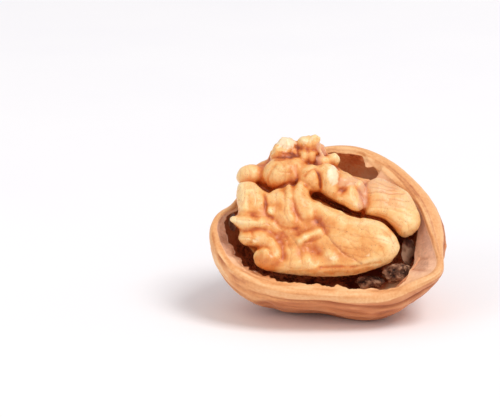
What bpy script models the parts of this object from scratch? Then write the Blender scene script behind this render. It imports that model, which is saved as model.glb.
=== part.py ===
"""Cracked walnut: a half shell with the kernel half still in it, as a Blender 4.5 model in metres, +Z up.

The shell half lies on its rounded back, on a small worn flat, with its rim plane leaning towards -Y.
Two empties carry everything, and share X with the world:
  rim frame   X along the nut, Y back along the rim plane, Z out of the opening; its origin is the rim's centre
  face frame  the same origin, Y up the kernel's face and Z out of it
The world's origin is under the middle of the whole nut, on the surface it rests on.
"""

import math

import bmesh
import bpy
import numpy as np
from mathutils import Matrix, Vector

MM = 0.001

# Driving dimensions, in millimetres and degrees.
RIM_LEAN = 30.0  # the rim plane, up from level
FACE_LEAN = 75.0  # the kernel's face, up from level
RIM_CENTRE = (-0.3, -2.45, 16.75)  # the rim's centre in the world
SHELL_DEPTH = 18.2  # rim plane to the outer back
WALL = 1.8  # shell wall at the back
KEEL_SHIFT = (-1.2, 2.0)  # the deepest point lies this far off the rim's centre, along p and q
ROUNDNESS = 1.15  # how soon the wall turns under: 1 is an ellipse
REST_CLEARANCE = 0.5  # gap between the kernel and the shell's inside
LIP_THICKNESS = 1.2  # the kernel keeps to the rim's inner edge down to here
LIP_RUN = 0.6  # and spreads out under it by this much for each millimetre further down
HOLLOW_LIP = 2.0  # above this height over the rim plane the kernel is free of the shell

# The rim's outer edge: (angle from +p in degrees, radius). The tip of the nut is at -33 degrees.
RIM_OUTLINE = (
    (-66, 20.05),
    (-48, 22.2),
    (-33, 24.1),
    (-20, 21.5),
    (-8, 19.5),
    (10, 18.4),
    (36, 18.1),
    (60, 19.0),
    (75, 19.4),
    (95, 18.5),
    (130, 17.9),
    (160, 18.4),
    (181, 20.6),
    (200, 21.3),
    (218, 21.4),
    (240, 20.3),
    (266, 19.0),
    (282, 19.3),
)

# How broad the rim is, from its outer to its inner edge: (angle, breadth).
RIM_BREADTH = (
    (-46, 4.4),
    (-30, 5.6),
    (-18, 3.0),
    (0, 2.2),
    (28, 3.6),
    (55, 4.0),
    (78, 3.2),
    (110, 2.1),
    (170, 1.8),
    (205, 3.2),
    (240, 2.8),
    (270, 2.6),
    (295, 1.9),
)

# How far the wall swells out past an even curve, half way down its outside: (angle, swelling).
SWELLING = (
    (-60, 1.7),
    (-33, -0.2),
    (-5, 3.9),
    (30, 4.3),
    (70, 3.4),
    (110, 0.8),
    (150, -0.6),
    (190, 0.8),
    (225, 0.3),
    (265, -0.8),
)

# How far the hollow runs out under the rim's inner edge: (angle, undercut).
UNDERCUT = (
    (-60, 0.4),
    (-30, 1.2),
    (0, 0.9),
    (45, 1.9),
    (80, 1.2),
    (120, 0.5),
    (210, 0.8),
    (260, 0.7),
)

# How far the rim drops at the chipped notch of the stem end: (angle, drop).
NOTCH = (
    (-90, 0.0),
    (0, 0.0),
    (120, 0.0),
    (142, 1.6),
    (159, 2.6),
    (174, 0.8),
    (190, 0.0),
)

AROUND = 76  # columns of the shell
OUTER_ROWS = 14
INNER_ROWS = 13
ROW_CROWDING = 1.5  # above 1 the rows crowd towards the rim, where the wall turns quickest


# Turns points of the face frame into points of the rim frame.
FACE_TO_RIM = np.array(Matrix.Rotation(math.radians(FACE_LEAN - RIM_LEAN), 3, "X"))


def round_curve(pairs, degrees):
    """A closed smooth curve through (angle, value) pairs, read at the given angles: a periodic Hermite curve
    whose slope at each point is that between its two neighbours."""
    angle = np.array([a for a, _ in pairs], float)
    value = np.array([v for _, v in pairs], float)
    before, after = np.roll(angle, 1), np.roll(angle, -1)
    before[0] -= 360
    after[-1] += 360
    slope = (np.roll(value, -1) - np.roll(value, 1)) / (after - before)
    where = (np.asarray(degrees, float) - angle[0]) % 360 + angle[0]
    left = np.clip(np.searchsorted(angle, where, side="right") - 1, 0, len(angle) - 1)
    right = (left + 1) % len(angle)
    span = after[left] - angle[left]
    t = (where - angle[left]) / span
    return (
        value[left] * (2 * t**3 - 3 * t**2 + 1)
        + slope[left] * span * (t**3 - 2 * t**2 + t)
        + value[right] * (3 * t**2 - 2 * t**3)
        + slope[right] * span * (t**3 - t**2)
    )


def new_object(name, mesh, material=None, parent=None):
    obj = bpy.data.objects.new(name, mesh)
    bpy.context.scene.collection.objects.link(obj)
    obj.parent = parent
    if material is not None:
        mesh.materials.append(material)
    return obj


def new_frame(name, parent, location, lean):
    """An empty that carries parts, leant about X by so many degrees."""
    frame = new_object(name, None, parent=parent)
    frame.location = Vector(location) * MM
    frame.rotation_euler = (math.radians(lean), 0.0, 0.0)
    return frame


def make_material(name, colour, roughness):
    material = bpy.data.materials.new(name)
    material.use_nodes = True
    shader = material.node_tree.nodes["Principled BSDF"]
    shader.inputs["Base Color"].default_value = (*colour, 1.0)
    shader.inputs["Roughness"].default_value = roughness
    shader.inputs["Metallic"].default_value = 0.0
    return material


def shade(mesh, sharp_degrees=50):
    mesh.shade_smooth()
    mesh.set_sharp_from_angle(angle=math.radians(sharp_degrees))


# ---------------------------------------------------------------- shell


def swell(down):
    """The share of the swelling at a level: it comes quickly below the rim and dies away to the keel."""
    return math.sin(math.pi * down**0.6)


def ring(degrees, down, radii, swelling, depth):
    """One ring of the bowl. down runs from 0 at the rim to 1 at the keel: the radius falls as a power of the cosine
    plus its share of the swelling, the depth grows as the sine, and the ring drifts over to the keel."""
    quarter = down * math.pi / 2
    radius = radii * max(math.cos(quarter), 0.0) ** ROUNDNESS + swelling * swell(down)
    drift = math.sin(quarter) ** 2
    turn = np.radians(degrees)
    lift = -depth * math.sin(quarter) - round_curve(NOTCH, degrees) * (1 - down) ** 3
    return np.stack(
        [
            radius * np.cos(turn) + KEEL_SHIFT[0] * drift,
            radius * np.sin(turn) + KEEL_SHIFT[1] * drift,
            lift,
        ],
        axis=1,
    )


def outer_ring(degrees, down):
    return ring(degrees, down, round_curve(RIM_OUTLINE, degrees), round_curve(SWELLING, degrees), SHELL_DEPTH)


def inner_ring(degrees, down):
    edge = round_curve(RIM_OUTLINE, degrees) - round_curve(RIM_BREADTH, degrees)
    swelling = round_curve(SWELLING, degrees) + round_curve(UNDERCUT, degrees)
    return ring(degrees, down, edge, swelling, SHELL_DEPTH - WALL)


def rim_rows(degrees):
    """The rim's top between its two edges, a little domed."""
    outer, inner = outer_ring(degrees, 0.0), inner_ring(degrees, 0.0)
    rows = []
    for share in (0.25, 0.75):
        row = outer * (1 - share) + inner * share
        row[:, 2] += 0.35
        rows.append(row)
    return rows


def make_shell(material, rim):
    """The half shell: rings from the keel up the outside, over the rim and down the inside, bridged and capped.
    A Boolean trims the worn flat that it rests on."""
    degrees = np.arange(AROUND) * 360.0 / AROUND
    rows = [outer_ring(degrees, (i / OUTER_ROWS) ** ROW_CROWDING) for i in reversed(range(OUTER_ROWS))]
    rows += rim_rows(degrees)
    rows += [inner_ring(degrees, (i / INNER_ROWS) ** ROW_CROWDING) for i in range(INNER_ROWS)]
    keel = [KEEL_SHIFT[0], KEEL_SHIFT[1], -SHELL_DEPTH]
    floor = [KEEL_SHIFT[0], KEEL_SHIFT[1], -(SHELL_DEPTH - WALL)]

    made = bmesh.new()
    rings = [[made.verts.new(p) for p in row * MM] for row in rows]
    for lower, upper in zip(rings, rings[1:]):
        for i in range(AROUND):
            j = (i + 1) % AROUND
            made.faces.new((lower[i], lower[j], upper[j], upper[i]))
    for ring, pole in ((rings[0], keel), (rings[-1], floor)):
        tip = made.verts.new(Vector(pole) * MM)
        for i in range(AROUND):
            made.faces.new((ring[i], ring[(i + 1) % AROUND], tip))
    bmesh.ops.recalc_face_normals(made, faces=made.faces)
    mesh = bpy.data.meshes.new("shell_half")
    made.to_mesh(mesh)
    made.free()
    shade(mesh)
    shell = new_object("shell_half", mesh, material, rim)

    cut = shell.modifiers.new("worn_flat", "BOOLEAN")
    cut.operation = "DIFFERENCE"
    cut.solver = "EXACT"
    cut.object = make_table()
    return shell


def make_table():
    """A cutter below the surface that the nut rests on."""
    made = bmesh.new()
    bmesh.ops.create_cube(made, size=1.0)
    bmesh.ops.scale(made, vec=Vector((60, 60, 10)) * MM, verts=made.verts)
    bmesh.ops.translate(made, vec=Vector((0, 0, -5)) * MM, verts=made.verts)
    mesh = bpy.data.meshes.new("table_cutter")
    made.to_mesh(mesh)
    made.free()
    table = new_object("table_cutter", mesh)
    table.hide_render = True
    table.display_type = "WIRE"
    return table


# ---------------------------------------------------------------- kernel

# The kernel's swellings in the face frame: centre (x, y, z), radii (x, y, z), turn about z, lean about x.
KERNEL_SWELLINGS = (
    # front lobe: body, the smooth paddle towards the tip, and the ridged left end
    ((-1.0, -5.2, 3.6), (14.0, 5.6, 4.6), -4, -30),
    ((7.4, -4.6, 4.6), (6.3, 4.6, 3.4), -12, -32),
    ((3.4, -0.6, 4.2), (2.6, 2.4, 2.4), -20, -20),
    ((-10.5, -0.5, 2.8), (5.2, 6.0, 4.2), 0, -25),
    ((-13.9, 2.8, 2.4), (2.5, 4.0, 3.2), 0, -20),
    ((-8.0, 2.6, 3.2), (2.3, 3.3, 3.0), 0, -20),
    ((-3.6, 3.2, 3.0), (1.7, 3.7, 2.8), 16, -20),
    ((-15.4, -0.2, 3.0), (1.7, 1.4, 1.8), 0, 0),
    ((-13.4, -3.0, 4.6), (2.9, 1.6, 2.0), -6, 0),
    ((-10.9, -6.6, 5.6), (2.6, 2.4, 2.4), 0, 0),
    ((-9.2, -4.4, 6.2), (1.5, 2.3, 1.6), 12, 0),
    ((-5.0, -8.0, 6.0), (3.4, 1.9, 2.4), -4, 0),
    # back lobe: body, the paddle, and the row of swellings along the groove
    ((1.0, 5.8, -6.0), (14.5, 7.0, 5.4), -4, -30),
    ((11.6, 2.2, -2.4), (5.3, 5.4, 3.9), -40, -30),
    ((14.6, -0.6, -0.4), (2.4, 2.4, 2.4), 0, 0),
    ((-13.6, 8.0, -3.4), (2.3, 2.1, 2.5), 0, 0),
    ((-8.2, 8.4, -1.2), (3.3, 2.9, 3.2), 0, 0),
    ((-2.6, 7.6, -0.6), (3.5, 2.6, 3.0), -32, 0),
    ((1.4, 6.2, 0.2), (2.9, 2.5, 2.7), -32, 0),
    ((4.4, 4.0, 0.2), (2.8, 1.9, 2.3), -40, 0),
    # underside of the two lobes, down in the hollow
    ((-1.0, -7.2, 0.2), (12.5, 6.4, 6.6), 0, -45),
    ((0.5, 0.0, -8.0), (13.5, 8.0, 7.4), 0, -45),
    # broken top, where the other half of the kernel came away
    ((-6.9, 12.6, -3.6), (1.9, 2.5, 1.9), 0, 0),
    ((-3.2, 13.2, -3.6), (2.0, 2.4, 1.8), 0, 0),
    ((-3.4, 11.0, -2.4), (2.0, 1.8, 2.0), 0, 0),
    ((1.4, 10.8, -4.8), (1.9, 1.7, 2.2), 0, 0),
    ((4.6, 7.8, -4.6), (3.2, 2.0, 2.5), -30, 0),
)
KERNEL_VOXEL = 0.95
KERNEL_SMOOTHING = 0.5


def swelling_points(centre, radii, turn, lean):
    """An icosphere drawn out to an ellipsoid, leant about x, turned about z and moved to its centre."""
    made = bmesh.new()
    bmesh.ops.create_icosphere(made, subdivisions=3, radius=1.0)
    points = np.array([v.co for v in made.verts], float) * radii
    faces = [[v.index for v in f.verts] for f in made.faces]
    made.free()
    spin = Matrix.Rotation(math.radians(turn), 3, "Z") @ Matrix.Rotation(math.radians(lean), 3, "X")
    return points @ np.array(spin).T + centre, faces


def press_into_shell(inside):
    """Keeps points of the rim frame clear of the shell: below the rim, a point nearer than the clearance to the
    inside wall is drawn in, at its own level, towards the line from the rim's centre to the keel."""
    depth = SHELL_DEPTH - WALL
    level = np.clip(inside[:, 2], -0.93 * depth, None)
    sunk = np.clip(-level / depth, 0.0, 1.0)
    down = np.arcsin(sunk) * 2 / math.pi
    keel = np.array(KEEL_SHIFT) * sunk[:, None] ** 2
    across = inside[:, :2] - keel
    degrees = np.degrees(np.arctan2(across[:, 1], across[:, 0]))
    edge = round_curve(RIM_OUTLINE, degrees) - round_curve(RIM_BREADTH, degrees)
    swelling = round_curve(SWELLING, degrees) + round_curve(UNDERCUT, degrees)
    wall = edge * np.sqrt(1 - sunk**2) ** ROUNDNESS + swelling * np.sin(math.pi * down**0.6)
    wall = np.minimum(wall, edge + LIP_RUN * np.clip(-level - LIP_THICKNESS, 0, None))
    steep = 1 + 1.2 * sunk**2
    room = wall - REST_CLEARANCE * steep
    reach = np.hypot(across[:, 0], across[:, 1])
    shrink = np.where(level < HOLLOW_LIP, np.minimum(1.0, room / np.maximum(reach, 1e-6)), 1.0)
    return np.column_stack([across * shrink[:, None] + keel, level])


def make_kernel(material, rim):
    """The kernel half: its swellings joined by a voxel remesh into one skin, eased, and pressed into the shell."""
    points, faces = [], []
    for swelling in KERNEL_SWELLINGS:
        more, corners = swelling_points(*swelling)
        faces += [[len(points) + i for i in corner] for corner in corners]
        points += list(more)
    mesh = bpy.data.meshes.new("kernel_rough")
    mesh.from_pydata((np.array(points) @ FACE_TO_RIM.T * MM).tolist(), [], faces)
    rough = new_object("kernel_rough", mesh)
    skin = rough.modifiers.new("one_skin", "REMESH")
    skin.mode = "VOXEL"
    skin.voxel_size = KERNEL_VOXEL * MM
    ease = rough.modifiers.new("ease", "SMOOTH")
    ease.factor = KERNEL_SMOOTHING
    ease.iterations = 2
    graph = bpy.context.evaluated_depsgraph_get()
    kernel_mesh = bpy.data.meshes.new_from_object(rough.evaluated_get(graph))
    kernel_mesh.name = "kernel_half"
    bpy.data.objects.remove(rough)
    inside = np.array([v.co for v in kernel_mesh.vertices], float) / MM
    kernel_mesh.vertices.foreach_set("co", (press_into_shell(inside) * MM).astype(np.float32).ravel())
    kernel_mesh.update()
    shade(kernel_mesh, 180)
    return new_object("kernel_half", kernel_mesh, material, rim)


# ---------------------------------------------------------------- bits of the dried dividing wall


def make_flake(name, face, centre, width, height, turn, lean, curl, thickness, material):
    """A thin scrap of the dividing wall: a small grid with a wavy edge, curled about its height and thickened. It
    stands at its centre in the face frame, turned about Y and leant about X."""
    made = bmesh.new()
    bmesh.ops.create_grid(made, x_segments=8, y_segments=8, size=1.0)
    for vert in made.verts:
        u, v = vert.co.x, vert.co.y
        ragged = 1.0 + 0.12 * math.sin(5 * u + 3 * v) * max(abs(u), abs(v))
        round_off = math.sqrt(1 - 0.42 * min(u * u, v * v))
        bend = curl * (u * u - 0.4) + 0.25 * curl * math.sin(3 * v + u)
        vert.co = Vector((u * width / 2 * ragged * round_off, v * height / 2 * ragged * round_off, bend)) * MM
    mesh = bpy.data.meshes.new(name)
    made.to_mesh(mesh)
    made.free()
    shade(mesh)
    flake = new_object(name, mesh, material, face)
    flake.location = Vector(centre) * MM
    flake.rotation_euler = (math.radians(lean), math.radians(turn), 0.0)
    thick = flake.modifiers.new("thickness", "SOLIDIFY")
    thick.thickness = thickness * MM
    thick.offset = 0.0
    return flake


def make_crumb(name, face, centre, radii, turn, material):
    """A lump of dried pith: an icosphere drawn out and dented by two crossed waves."""
    made = bmesh.new()
    bmesh.ops.create_icosphere(made, subdivisions=3, radius=1.0)
    for vert in made.verts:
        x, y, z = vert.co
        dent = 1.0 + 0.10 * math.sin(4 * x + 2) * math.cos(3 * y) + 0.07 * math.sin(6 * z + x)
        vert.co = Vector((x * radii[0], y * radii[1], z * radii[2])) * dent * MM
    mesh = bpy.data.meshes.new(name)
    made.to_mesh(mesh)
    made.free()
    shade(mesh)
    crumb = new_object(name, mesh, material, face)
    crumb.location = Vector(centre) * MM
    crumb.rotation_euler = (0.0, 0.0, math.radians(turn))
    return crumb


def main():
    for obj in list(bpy.data.objects):
        bpy.data.objects.remove(obj)
    shell = make_material("shell", (0.62, 0.29, 0.13), 0.62)
    kernel = make_material("kernel", (0.80, 0.46, 0.18), 0.48)
    pith = make_material("pith", (0.17, 0.075, 0.04), 0.75)
    membrane = make_material("membrane", (0.36, 0.17, 0.10), 0.6)

    rim = new_frame("rim_frame", None, RIM_CENTRE, RIM_LEAN)
    face = new_frame("face_frame", rim, (0.0, 0.0, 0.0), FACE_LEAN - RIM_LEAN)
    make_shell(shell, rim)
    make_kernel(kernel, rim)
    make_flake("septum_shard", face, (15.5, -5.9, -0.5), 3.2, 5.2, 42, -15, 0.7, 0.6, membrane)
    make_flake("septum_scrap_left", face, (-16.9, -0.6, -2.0), 2.2, 3.3, -50, -10, 0.4, 0.5, membrane)
    make_crumb("pith_crumb_tip", face, (12.8, -9.6, 4.4), (2.1, 1.5, 1.6), 20, pith)
    make_crumb("pith_crumb_front", face, (8.2, -11.5, 5.0), (2.3, 1.1, 1.4), 4, pith)


main()
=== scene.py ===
"""Cracked walnut half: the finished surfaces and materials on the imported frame.

Everything is worked out in millimetres in two leaning frames that share X with the world, and goes into the
meshes in metres:
  rim frame   X along the nut, Y back along the rim plane, Z out of the opening; its origin is the rim's centre
  face frame  the same origin, Y up the kernel's face and Z straight out of it, towards the viewer
"""

import math

import bpy
import numpy as np
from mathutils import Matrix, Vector


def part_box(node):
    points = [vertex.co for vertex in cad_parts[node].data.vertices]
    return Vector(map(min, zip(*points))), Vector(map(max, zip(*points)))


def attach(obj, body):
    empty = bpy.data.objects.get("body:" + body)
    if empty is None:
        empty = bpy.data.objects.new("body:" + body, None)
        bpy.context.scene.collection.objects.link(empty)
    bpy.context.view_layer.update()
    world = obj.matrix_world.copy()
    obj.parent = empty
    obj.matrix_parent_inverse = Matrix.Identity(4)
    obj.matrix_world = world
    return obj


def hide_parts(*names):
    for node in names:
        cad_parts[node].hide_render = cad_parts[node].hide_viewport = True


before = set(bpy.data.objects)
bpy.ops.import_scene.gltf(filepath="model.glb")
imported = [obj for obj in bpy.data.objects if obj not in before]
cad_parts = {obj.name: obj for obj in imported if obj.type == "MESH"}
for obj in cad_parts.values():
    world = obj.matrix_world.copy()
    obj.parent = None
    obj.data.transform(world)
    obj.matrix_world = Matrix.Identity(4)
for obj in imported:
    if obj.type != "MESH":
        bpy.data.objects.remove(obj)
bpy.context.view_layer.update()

MM = 0.001

# The frames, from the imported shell's box.
RIM_LEAN = 30.0
FACE_LEAN = 75.0
CORNER_TO_RIM = np.array((21.078, 16.438, 16.75))  # from the shell's lowest corner to the rim's centre
RIM_CENTRE = np.array(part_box("shell_half")[0]) / MM + CORNER_TO_RIM

# The camera, in millimetres.
EYE_DISTANCE = 400.0
EYE_OFFSET = (-13.8, 1.9)  # the line of sight passes the rim's centre this far along the face frame's X and Y
LENS = 158.0

# ---------------------------------------------------------------- sums on arrays of points


def leant(points, degrees):
    """Points turned about X by so many degrees."""
    c, s = math.cos(math.radians(degrees)), math.sin(math.radians(degrees))
    x, y, z = points[..., 0], points[..., 1], points[..., 2]
    return np.stack([x, c * y - s * z, s * y + c * z], axis=-1)


def rim_to_world(points):
    """From the rim frame to the world, in millimetres."""
    return leant(points, RIM_LEAN) + RIM_CENTRE


def face_to_rim(points):
    """From the face frame to the rim frame."""
    return leant(points, FACE_LEAN - RIM_LEAN)


def face_to_world(points):
    """From the face frame to the world, in millimetres."""
    return leant(points, FACE_LEAN) + RIM_CENTRE


def out_of_sight_lines(points):
    """From the place a point is sighted at, on the face frame's own plane, to its true place: a point nearer the
    eye sits closer to the line of sight, in the ratio of its distance to the eye's."""
    closer = (EYE_DISTANCE - points[..., 2]) / EYE_DISTANCE
    x = (points[..., 0] - EYE_OFFSET[0]) * closer + EYE_OFFSET[0]
    y = (points[..., 1] - EYE_OFFSET[1]) * closer + EYE_OFFSET[1]
    return np.stack([x, y, points[..., 2]], axis=-1)


def ease(value):
    """0 below 0, 1 above 1, and a smooth step between."""
    t = np.clip(value, 0.0, 1.0)
    return t * t * (3 - 2 * t)


def bell(value):
    """1 at 0, dying away on both sides as exp(-value squared)."""
    return np.exp(-np.minimum(value * value, 40.0))


def waves(points, size, seed):
    """Random waves about `size` across, from -1 to 1: random values at the corners of a lattice, eased between."""
    place = np.asarray(points, float) / size + 200.0
    cell = np.floor(place).astype(np.int64)
    share = place - cell
    share = share * share * (3 - 2 * share)
    total = np.zeros(place.shape[:-1])
    for corner in np.ndindex(2, 2, 2):
        at = cell + np.array(corner)
        mixed = (at[..., 0] * 73856093) ^ (at[..., 1] * 19349663) ^ (at[..., 2] * 83492791) ^ (seed * 2654435761)
        mixed = ((mixed ^ (mixed >> 13)) * 1274126177) & 0xFFFFFFFF
        value = ((mixed ^ (mixed >> 15)) & 0xFFFF) / 32767.5 - 1.0
        weight = np.prod(np.where(np.array(corner) == 1, share, 1 - share), axis=-1)
        total += weight * value
    return total


def rough_waves(points, size, seed, octaves=3):
    """Waves with finer waves on them, each half the size and half the height of the last."""
    return sum(waves(points, size / 2**i, seed + i) / 2**i for i in range(octaves))


def round_curve(pairs, degrees):
    """A closed smooth curve through (angle, value) pairs, read at the given angles: a periodic Hermite curve
    whose slope at each point is that between its two neighbours."""
    angle = np.array([a for a, _ in pairs], float)
    value = np.array([v for _, v in pairs], float)
    before, after = np.roll(angle, 1), np.roll(angle, -1)
    before[0] -= 360
    after[-1] += 360
    slope = (np.roll(value, -1) - np.roll(value, 1)) / (after - before)
    where = (np.asarray(degrees, float) - angle[0]) % 360 + angle[0]
    left = np.clip(np.searchsorted(angle, where, side="right") - 1, 0, len(angle) - 1)
    right = (left + 1) % len(angle)
    span = after[left] - angle[left]
    t = (where - angle[left]) / span
    return (
        value[left] * (2 * t**3 - 3 * t**2 + 1)
        + slope[left] * span * (t**3 - 2 * t**2 + t)
        + value[right] * (3 * t**2 - 2 * t**3)
        + slope[right] * span * (t**3 - t**2)
    )


def spline(points, closed, steps=5):
    """A smooth line through points: on each side a cubic whose end slopes run between the neighbours."""
    p = np.array(points, float)
    if closed:
        before, start, end, after = np.roll(p, 1, 0), p, np.roll(p, -1, 0), np.roll(p, -2, 0)
    else:
        padded = np.vstack([2 * p[0] - p[1], p, 2 * p[-1] - p[-2]])
        before, start, end, after = padded[:-3], padded[1:-2], padded[2:-1], padded[3:]
    t = (np.arange(steps) / steps)[None, :, None]
    b, s, e, a = (side[:, None, :] for side in (before, start, end, after))
    cubic = (2 * s + (e - b) * t + (2 * b - 5 * s + 4 * e - a) * t**2 + (3 * s - b - 3 * e + a) * t**3) / 2
    line = cubic.reshape(-1, p.shape[1])
    return line if closed else np.vstack([line, p[-1:]])


def distance_to_line(points, line):
    """How far points are from an open line, in as many dimensions as they have."""
    nearest = np.full(points.shape[:-1], np.inf)
    for start, end in zip(line, line[1:]):
        run = end - start
        share = np.clip(((points - start) @ run) / max(run @ run, 1e-9), 0, 1)
        away = points - start - share[..., None] * run
        nearest = np.minimum(nearest, np.sum(away * away, axis=-1))
    return np.sqrt(nearest)


def inside_outline(points, outline):
    """True for points that a closed outline goes round: a ray from them crosses it an odd number of times."""
    x, y = points[..., 0], points[..., 1]
    within = np.zeros(x.shape, bool)
    for (x0, y0), (x1, y1) in zip(outline, np.roll(outline, -1, 0)):
        crosses = (y0 > y) != (y1 > y)
        meets = x0 + (y - y0) * (x1 - x0) / (y1 - y0 if abs(y1 - y0) > 1e-9 else 1e-9)
        within ^= crosses & (x < meets)
    return within


# ---------------------------------------------------------------- shell: the bowl's driving curves

SHELL_DEPTH = 18.2  # rim plane to the outer back
WALL = 1.8
KEEL_SHIFT = (-1.2, 2.0)
ROUNDNESS = 1.15

# Pairs of an angle from +X in degrees and a value in millimetres.
# How far the rim's outer edge is from the middle, and how broad the rim would be unbroken.
RIM_OUTLINE = (
    (-66, 20.05), (-48, 22.2), (-33, 24.1), (-20, 21.5), (-8, 19.7), (10, 18.6), (36, 18.1), (60, 19.0),
    (75, 19.4), (95, 18.5), (130, 17.9), (160, 18.4), (181, 20.6), (200, 21.3), (218, 21.4), (240, 20.3),
    (266, 19.0), (282, 19.3),
)
RIM_BREADTH = (
    (-46, 4.4), (-30, 5.6), (-18, 3.0), (0, 2.2), (28, 3.6), (55, 4.0), (78, 3.2), (110, 2.1), (170, 1.8),
    (205, 3.2), (240, 2.8), (270, 2.6), (295, 1.9),
)
# How far the wall bulges out under the rim, and how much further it does so on the inside.
SWELLING = (
    (-60, 1.7), (-33, -0.2), (-5, 3.9), (30, 4.3), (70, 3.4), (110, 0.8), (150, -0.6), (190, 0.8), (225, 0.3),
    (265, -0.8),
)
UNDERCUT = (
    (-60, 0.4), (-30, 1.2), (0, 0.9), (45, 1.9), (80, 1.2), (120, 0.5), (210, 0.8), (260, 0.7),
)
# How far the rim is worn down on the left at the back.
NOTCH = ((-90, 0.0), (0, 0.0), (120, 0.0), (142, 1.6), (159, 2.6), (174, 0.8), (190, 0.0))

# The broken rim: how broad it really is, with the gap in the inner ledge at the back right.
BROKEN_BREADTH = (
    (-60, 1.4), (-53, 1.3), (-48, 1.8), (-44, 2.9), (-40.5, 4.3), (-36, 5.3), (-31, 5.8), (-22, 4.8), (-10, 3.3),
    (0, 2.6), (28, 3.8), (44, 4.2), (50, 4.5), (51.5, 2.6), (54, 1.8), (57.5, 1.8), (60.8, 2.8), (63.5, 2.0),
    (66.3, 1.2), (70, 1.5), (80, 1.4), (84, 1.2), (110, 1.6), (170, 1.8), (205, 3.4), (240, 3.2), (270, 3.0),
    (285, 2.4),
)
# How far the rim dips towards the front.
RIM_DIP = (
    (-90, 0.1), (-75, 0.5), (-60, 0.9), (-48, 0.5), (-36, 0.0), (90, 0.0), (180, 0.0), (245, 0.0),
)
# How deep under the rim plane the ledge's inner edge lies.
LEDGE_SLOPE = (
    (-48, 0.3), (-40, 1.2), (-30, 2.4), (-10, 2.2), (5, 1.6), (20, 1.2), (50, 1.4), (66, 0.5), (80, 0.4),
    (120, 0.3), (190, 0.6), (210, 1.3), (235, 0.9), (270, 0.3),
)
# How ragged the rim's inner edge is.
RAGGED = (
    (-55, 0.35), (-30, 0.12), (0, 0.08), (48, 0.15), (65, 0.25), (100, 0.1), (180, 0.2), (212, 0.60),
    (235, 0.50), (255, 0.40), (272, 0.55),
)

AROUND = 520
OUTER_ROWS = 78
RIM_ROWS = 22
INNER_ROWS = 60
CROWDING = 1.35  # above 1 the rows crowd towards the rim
INNER_CROWDING = 1.5

# Places round the rim, in degrees, each with how far the thing there spreads.
TIP, TIP_SPREAD = -31, 12
RIGHT_SIDE = (12, 46)
BACK_LEDGE = (42, 20)
LEFT_END = (188, 22)
SCRAPED_SIDE = (214, 28)  # the outside is rubbed smooth and pale here
TORN_EDGE = (217, 17)
DENT = (236, 4.5)
RIGHT_INSIDE, LEFT_INSIDE_LIFT = (-2, 34), (190, 42)  # rosy near the rim; on the left this is also painted light that lifts the shaded wall
KERNEL_SHADOW_PLACE = (250, 15)  # where the painted shadow under the kernel's front falls
# Where the pale broken wood reaches further down the outside or less far, and by how many millimetres.
PALE_REACH = (((213, 25), 8.5), ((262, 16), 1.2), ((315, 22), -1.1))

# Heights and depths of the outer wall's relief.
FURROW, RIDGE, GRAIN, PIT, STREAK, EDGE_WAVE = 0.17, 0.13, 0.05, 0.20, 0.10, 0.05
LIP_HEIGHT, LIP_PLACE, LIP_WIDTH = 0.22, 1.1, 0.8
SUTURE_DEPTH, SUTURE_PLACE, SUTURE_WIDTH = 0.30, 2.5, 0.42
DENT_DEPTH, DENT_PLACE, DENT_WIDTH = 0.7, 7.5, 3.0
PALE_BAND = 1.7  # how far the pale broken wood reaches down the outside
# Heights and depths on top of the rim.
EDGE_DOME, LAYER, STEP, GRIT, CREASE, FLAKE, LEFT_SINK = 0.22, 0.07, 0.28, 0.045, 0.25, 0.28, 0.12
# Heights of the folds and the fine grain inside.
FOLD, INNER_GRAIN = 0.16, 0.05


def bowl(degrees, down, radii, swelling, depth):
    """A point of the bowl. down runs from 0 at the rim to 1 at the keel: the radius falls as a power of the cosine
    plus the swelling's share, the depth grows as the sine, and the ring drifts over to the keel."""
    quarter = down * math.pi / 2
    radius = radii * np.clip(np.cos(quarter), 0, 1) ** ROUNDNESS + swelling * np.sin(math.pi * down**0.6)
    drift = np.sin(quarter) ** 2
    turn = np.radians(degrees)
    drop = round_curve(NOTCH, degrees) + round_curve(RIM_DIP, degrees)
    lift = -depth * np.sin(quarter) - drop * (1 - down) ** 3
    x = radius * np.cos(turn) + KEEL_SHIFT[0] * drift
    y = radius * np.sin(turn) + KEEL_SHIFT[1] * drift
    return np.stack([x, y, lift], axis=-1)


def around_rim(degrees, size, seed):
    """Random waves along the rim, about `size` millimetres long, that close after one turn."""
    turn = np.radians(degrees)
    circle = np.stack([20 * np.cos(turn), 20 * np.sin(turn), np.zeros_like(turn)], axis=-1)
    return waves(circle, size, seed)


def from_angle(degrees, middle):
    """How far round the rim from an angle, from -180 to 180 degrees."""
    return (degrees - middle + 180) % 360 - 180


def near(degrees, place):
    """1 at a place round the rim, dying away on both sides of it over its spread."""
    middle, spread = place
    return bell((degrees - middle) / spread)


def broken_breadth(degrees):
    """The rim's breadth with its ragged inner edge: the drawn breadth plus short teeth along the rim."""
    teeth = around_rim(degrees, 1.1, 5) + 0.6 * np.abs(around_rim(degrees, 0.55, 6))
    teeth = teeth + 0.8 * around_rim(degrees, 3, 7)
    return round_curve(BROKEN_BREADTH, degrees) + round_curve(RAGGED, degrees) * teeth


def grid_normals(grid):
    """Normals of a grid that closes along its second side, pointing out where the rows run up the outside."""
    along = np.gradient(grid, axis=0)
    across = np.roll(grid, -1, 1) - np.roll(grid, 1, 1)
    normal = np.cross(across, along)
    return normal / np.maximum(np.linalg.norm(normal, axis=-1, keepdims=True), 1e-9)


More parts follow.
